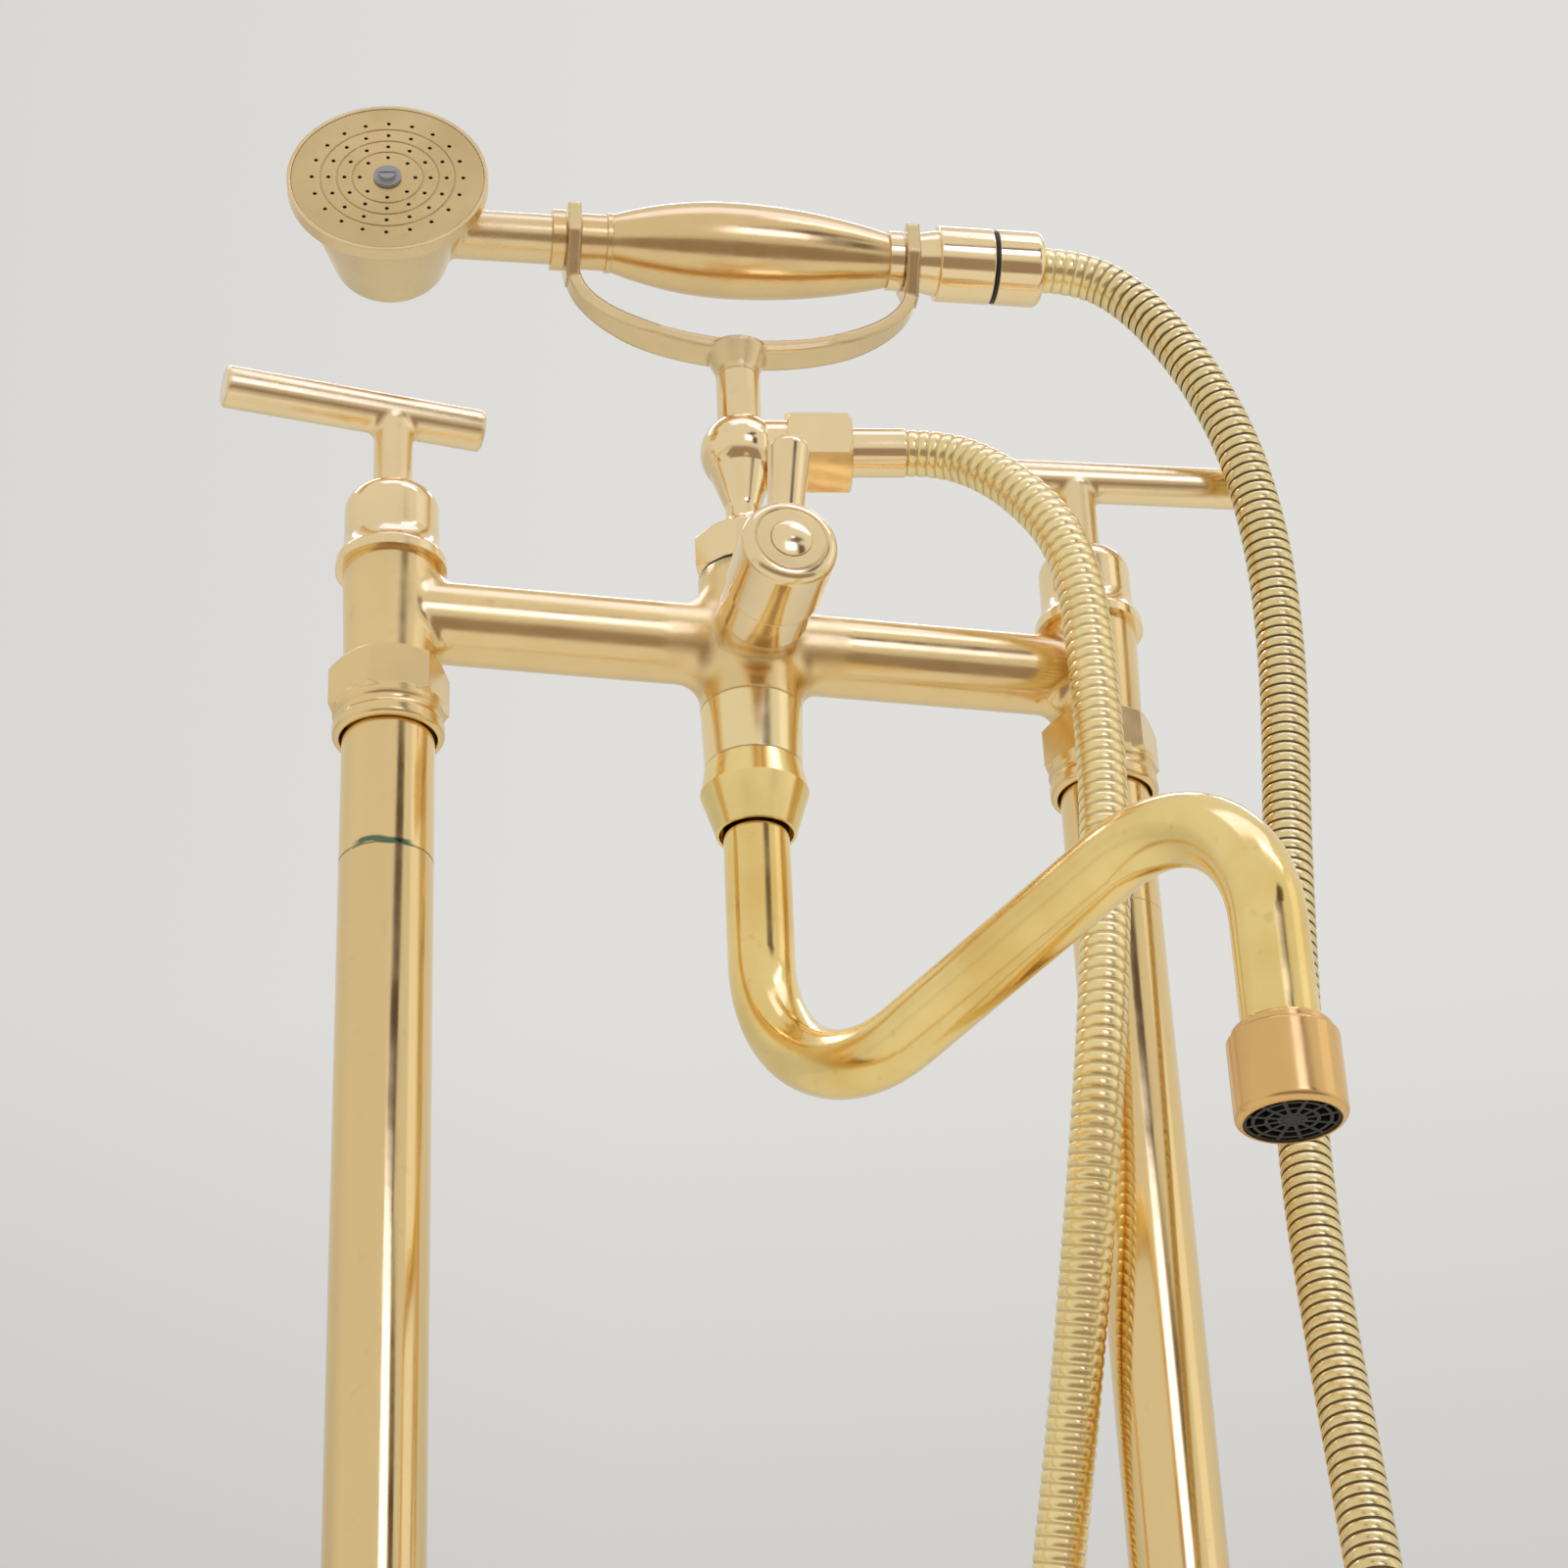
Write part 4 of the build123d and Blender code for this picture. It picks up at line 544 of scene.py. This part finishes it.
def make_lamp(name, place, wide, deep, radiance, mirrored):
    """A soft area lamp that the camera doesn't see."""
    data = bpy.data.lights.new(name, "AREA")
    data.shape = "RECTANGLE"
    data.size = wide
    data.size_y = deep
    data.energy = radiance * math.pi * wide * deep
    lamp = bpy.data.objects.new(name, data)
    scene.collection.objects.link(lamp)
    lamp.location = place
    lamp.visible_camera = False
    lamp.visible_glossy = mirrored
    lamp.rotation_mode = "QUATERNION"
    lamp.rotation_quaternion = (Vector(LAMP_AIM) - lamp.location).to_track_quat("-Z", "Y")


def make_world():
    """The pale room: even all round, and falling off a little low down and to the left behind the part."""
    world = bpy.data.worlds.new("studio")
    scene.world = world
    world.use_nodes = True
    tree = world.node_tree
    place = tree.nodes.new("ShaderNodeTexCoord")
    x, y, z = axes(tree, place, "Generated")
    low = spread(tree, z, *LOW_FALL, LOW_SHARE, 1.0)
    left = spread(tree, x, *LEFT_FALL, LEFT_SHARE, 1.0)
    fall = combine(tree, "SUBTRACT", 1.0, combine(tree, "MULTIPLY", low, left))
    behind = combine(tree, "MULTIPLY", spread(tree, y, *BEHIND_FROM), fall)
    colour = blend_colour(tree, behind, BACKDROP, BLACK)
    tree.links.new(colour, tree.nodes["Background"].inputs["Color"])
    tree.nodes["Background"].inputs["Strength"].default_value = 1.0


def make_studio():
    """Pale floor, soft lamps, and the cards that give the metal its dark and light stripes."""
    reach = FLOOR_REACH
    corners = [(-reach, -reach, 0.0), (reach, -reach, 0.0), (reach, reach, 0.0), (-reach, reach, 0.0)]
    make_sheet("floor", corners, plain("floor_paint", FLOOR, roughness=0.7))
    for name, values in CARDS.items():
        make_card(name, *values)
    for name, values in LAMPS.items():
        make_lamp(name, *values)


scene.view_settings.view_transform = "Standard"
finishes = {
    "leg": patina_brass("leg_brass"),
    "leg_right": brass("right_leg_brass", LEG_GOLD, LEG_ROUGH, LEG_RIPPLE, LEG_SHARE, DRAWN),
    "bridge": bridge_brass("bridge_brass"),
    "cast": brass("cast_brass", CAST_GOLD, CAST_ROUGH, CAST_RIPPLE),
    "turned": brass("turned_brass", PALE_GOLD, rough=(0.09, 0.18), ripple=0.03),
    "shell": brass("shell_brass", SHELL_GOLD, rough=(0.20, 0.30), ripple=0.02),
    "grip": brass("grip_brass", GRIP_GOLD, rough=(0.15, 0.26), ripple=0.05),
    "fork": brass("fork_brass", SHELL_GOLD, rough=(0.17, 0.28), ripple=0.05, soft=FORK_SOFTNESS),
    "housing": brass("housing_brass", HOUSING_GOLD, rough=(0.16, 0.28), ripple=0.04),
    "spout": brass("spout_brass", YELLOW_GOLD, rough=(0.10, 0.20), ripple=0.05, second=DEEP_GOLD),
    "nut": brass("spout_nut_brass", YELLOW_GOLD, rough=(0.14, 0.26), ripple=0.04, second=DULLER_SHARE),
    "face": brass("rose_brass", ROSE_GOLD, rough=(0.24, 0.34), ripple=0.03, second=DULLER_SHARE),
    "handle": brass("handle_brass", PALE_GOLD, rough=(0.10, 0.20), ripple=0.03, soft=HANDLE_SOFTNESS),
    # The hose's brass is painted lighter on the inner strand and in shade on the outer strand; the groove
    # brass is painted shade in the grooves.
    "hose": hose_brass("hose_brass", HOSE_LIT_GOLD, HOSE_SHADED_GOLD, rough=(0.20, 0.30)),
    "groove": hose_brass("groove_brass", GROOVE_SHADE_GOLD, GROOVE_SHADE_BROWN, rough=(0.35, 0.45)),
    "rubber": plain("black_rubber", RUBBER_BLACK, roughness=0.45),
    "plastic": plain("dark_plastic", PLASTIC_BLACK, roughness=0.50),
    "steel": plain("screw_steel", SCREW_STEEL, roughness=0.28, metallic=1.0),
    "washer": plain("grey_washer", WASHER_GREY, roughness=0.45),
    "ceramic": plain("valve_ceramic", CERAMIC_WHITE, roughness=0.15),
}

make_camera()
make_world()
make_studio()
make_hose()

dress(finishes["leg"], "leg_tube_left", "union_tail_left")
dress(finishes["leg_right"], "leg_tube_right", "union_tail_right", "floor_plate_left", "floor_plate_right")
dress(finishes["bridge"], "bridge_body")
dress(finishes["cast"], "union_nut_left", "union_nut_right")
dress(finishes["shell"], "head_shell")
dress(finishes["grip"], "grip", "handset_tube")
dress(finishes["fork"], "cradle_fork")
dress(finishes["housing"], "aerator_housing")
dress(finishes["handle"], "handle_left", "handle_right")
dress(finishes["turned"], "bell_cap_left", "bell_cap_right", "diverter_bonnet", "diverter_knob")
dress(finishes["turned"], "diverter_lever", "diverter_rotor", "knob_cap", "riser_column", "riser_nut")
dress(finishes["turned"], "hose_outlet_nut", "hose_ferrule", "handset_tail", "handset_nut", "swivel_sleeve")
dress(finishes["turned"], "spindle_left", "spindle_right", "cartridge_left", "cartridge_right")
dress(finishes["spout"], "spout_tube")
dress(finishes["nut"], "spout_nut")
dress(finishes["face"], "rose_plate")
dress(finishes["rubber"], "foot_seals", "union_gaskets", "valve_seals", "diverter_seals", "spout_seals")
dress(finishes["rubber"], "riser_seals", "hose_outlet_washer", "rose_gasket", "handset_washer", "swivel_seal")
dress(finishes["plastic"], "aerator_insert", "spout_slip_ring")
dress(finishes["steel"], "leg_screws", "handle_screw_left", "handle_screw_right", "knob_screw")
dress(finishes["washer"], "rose_washer", "rose_screw")
dress(finishes["ceramic"], "fixed_discs", "rotating_disc_left", "rotating_disc_right")
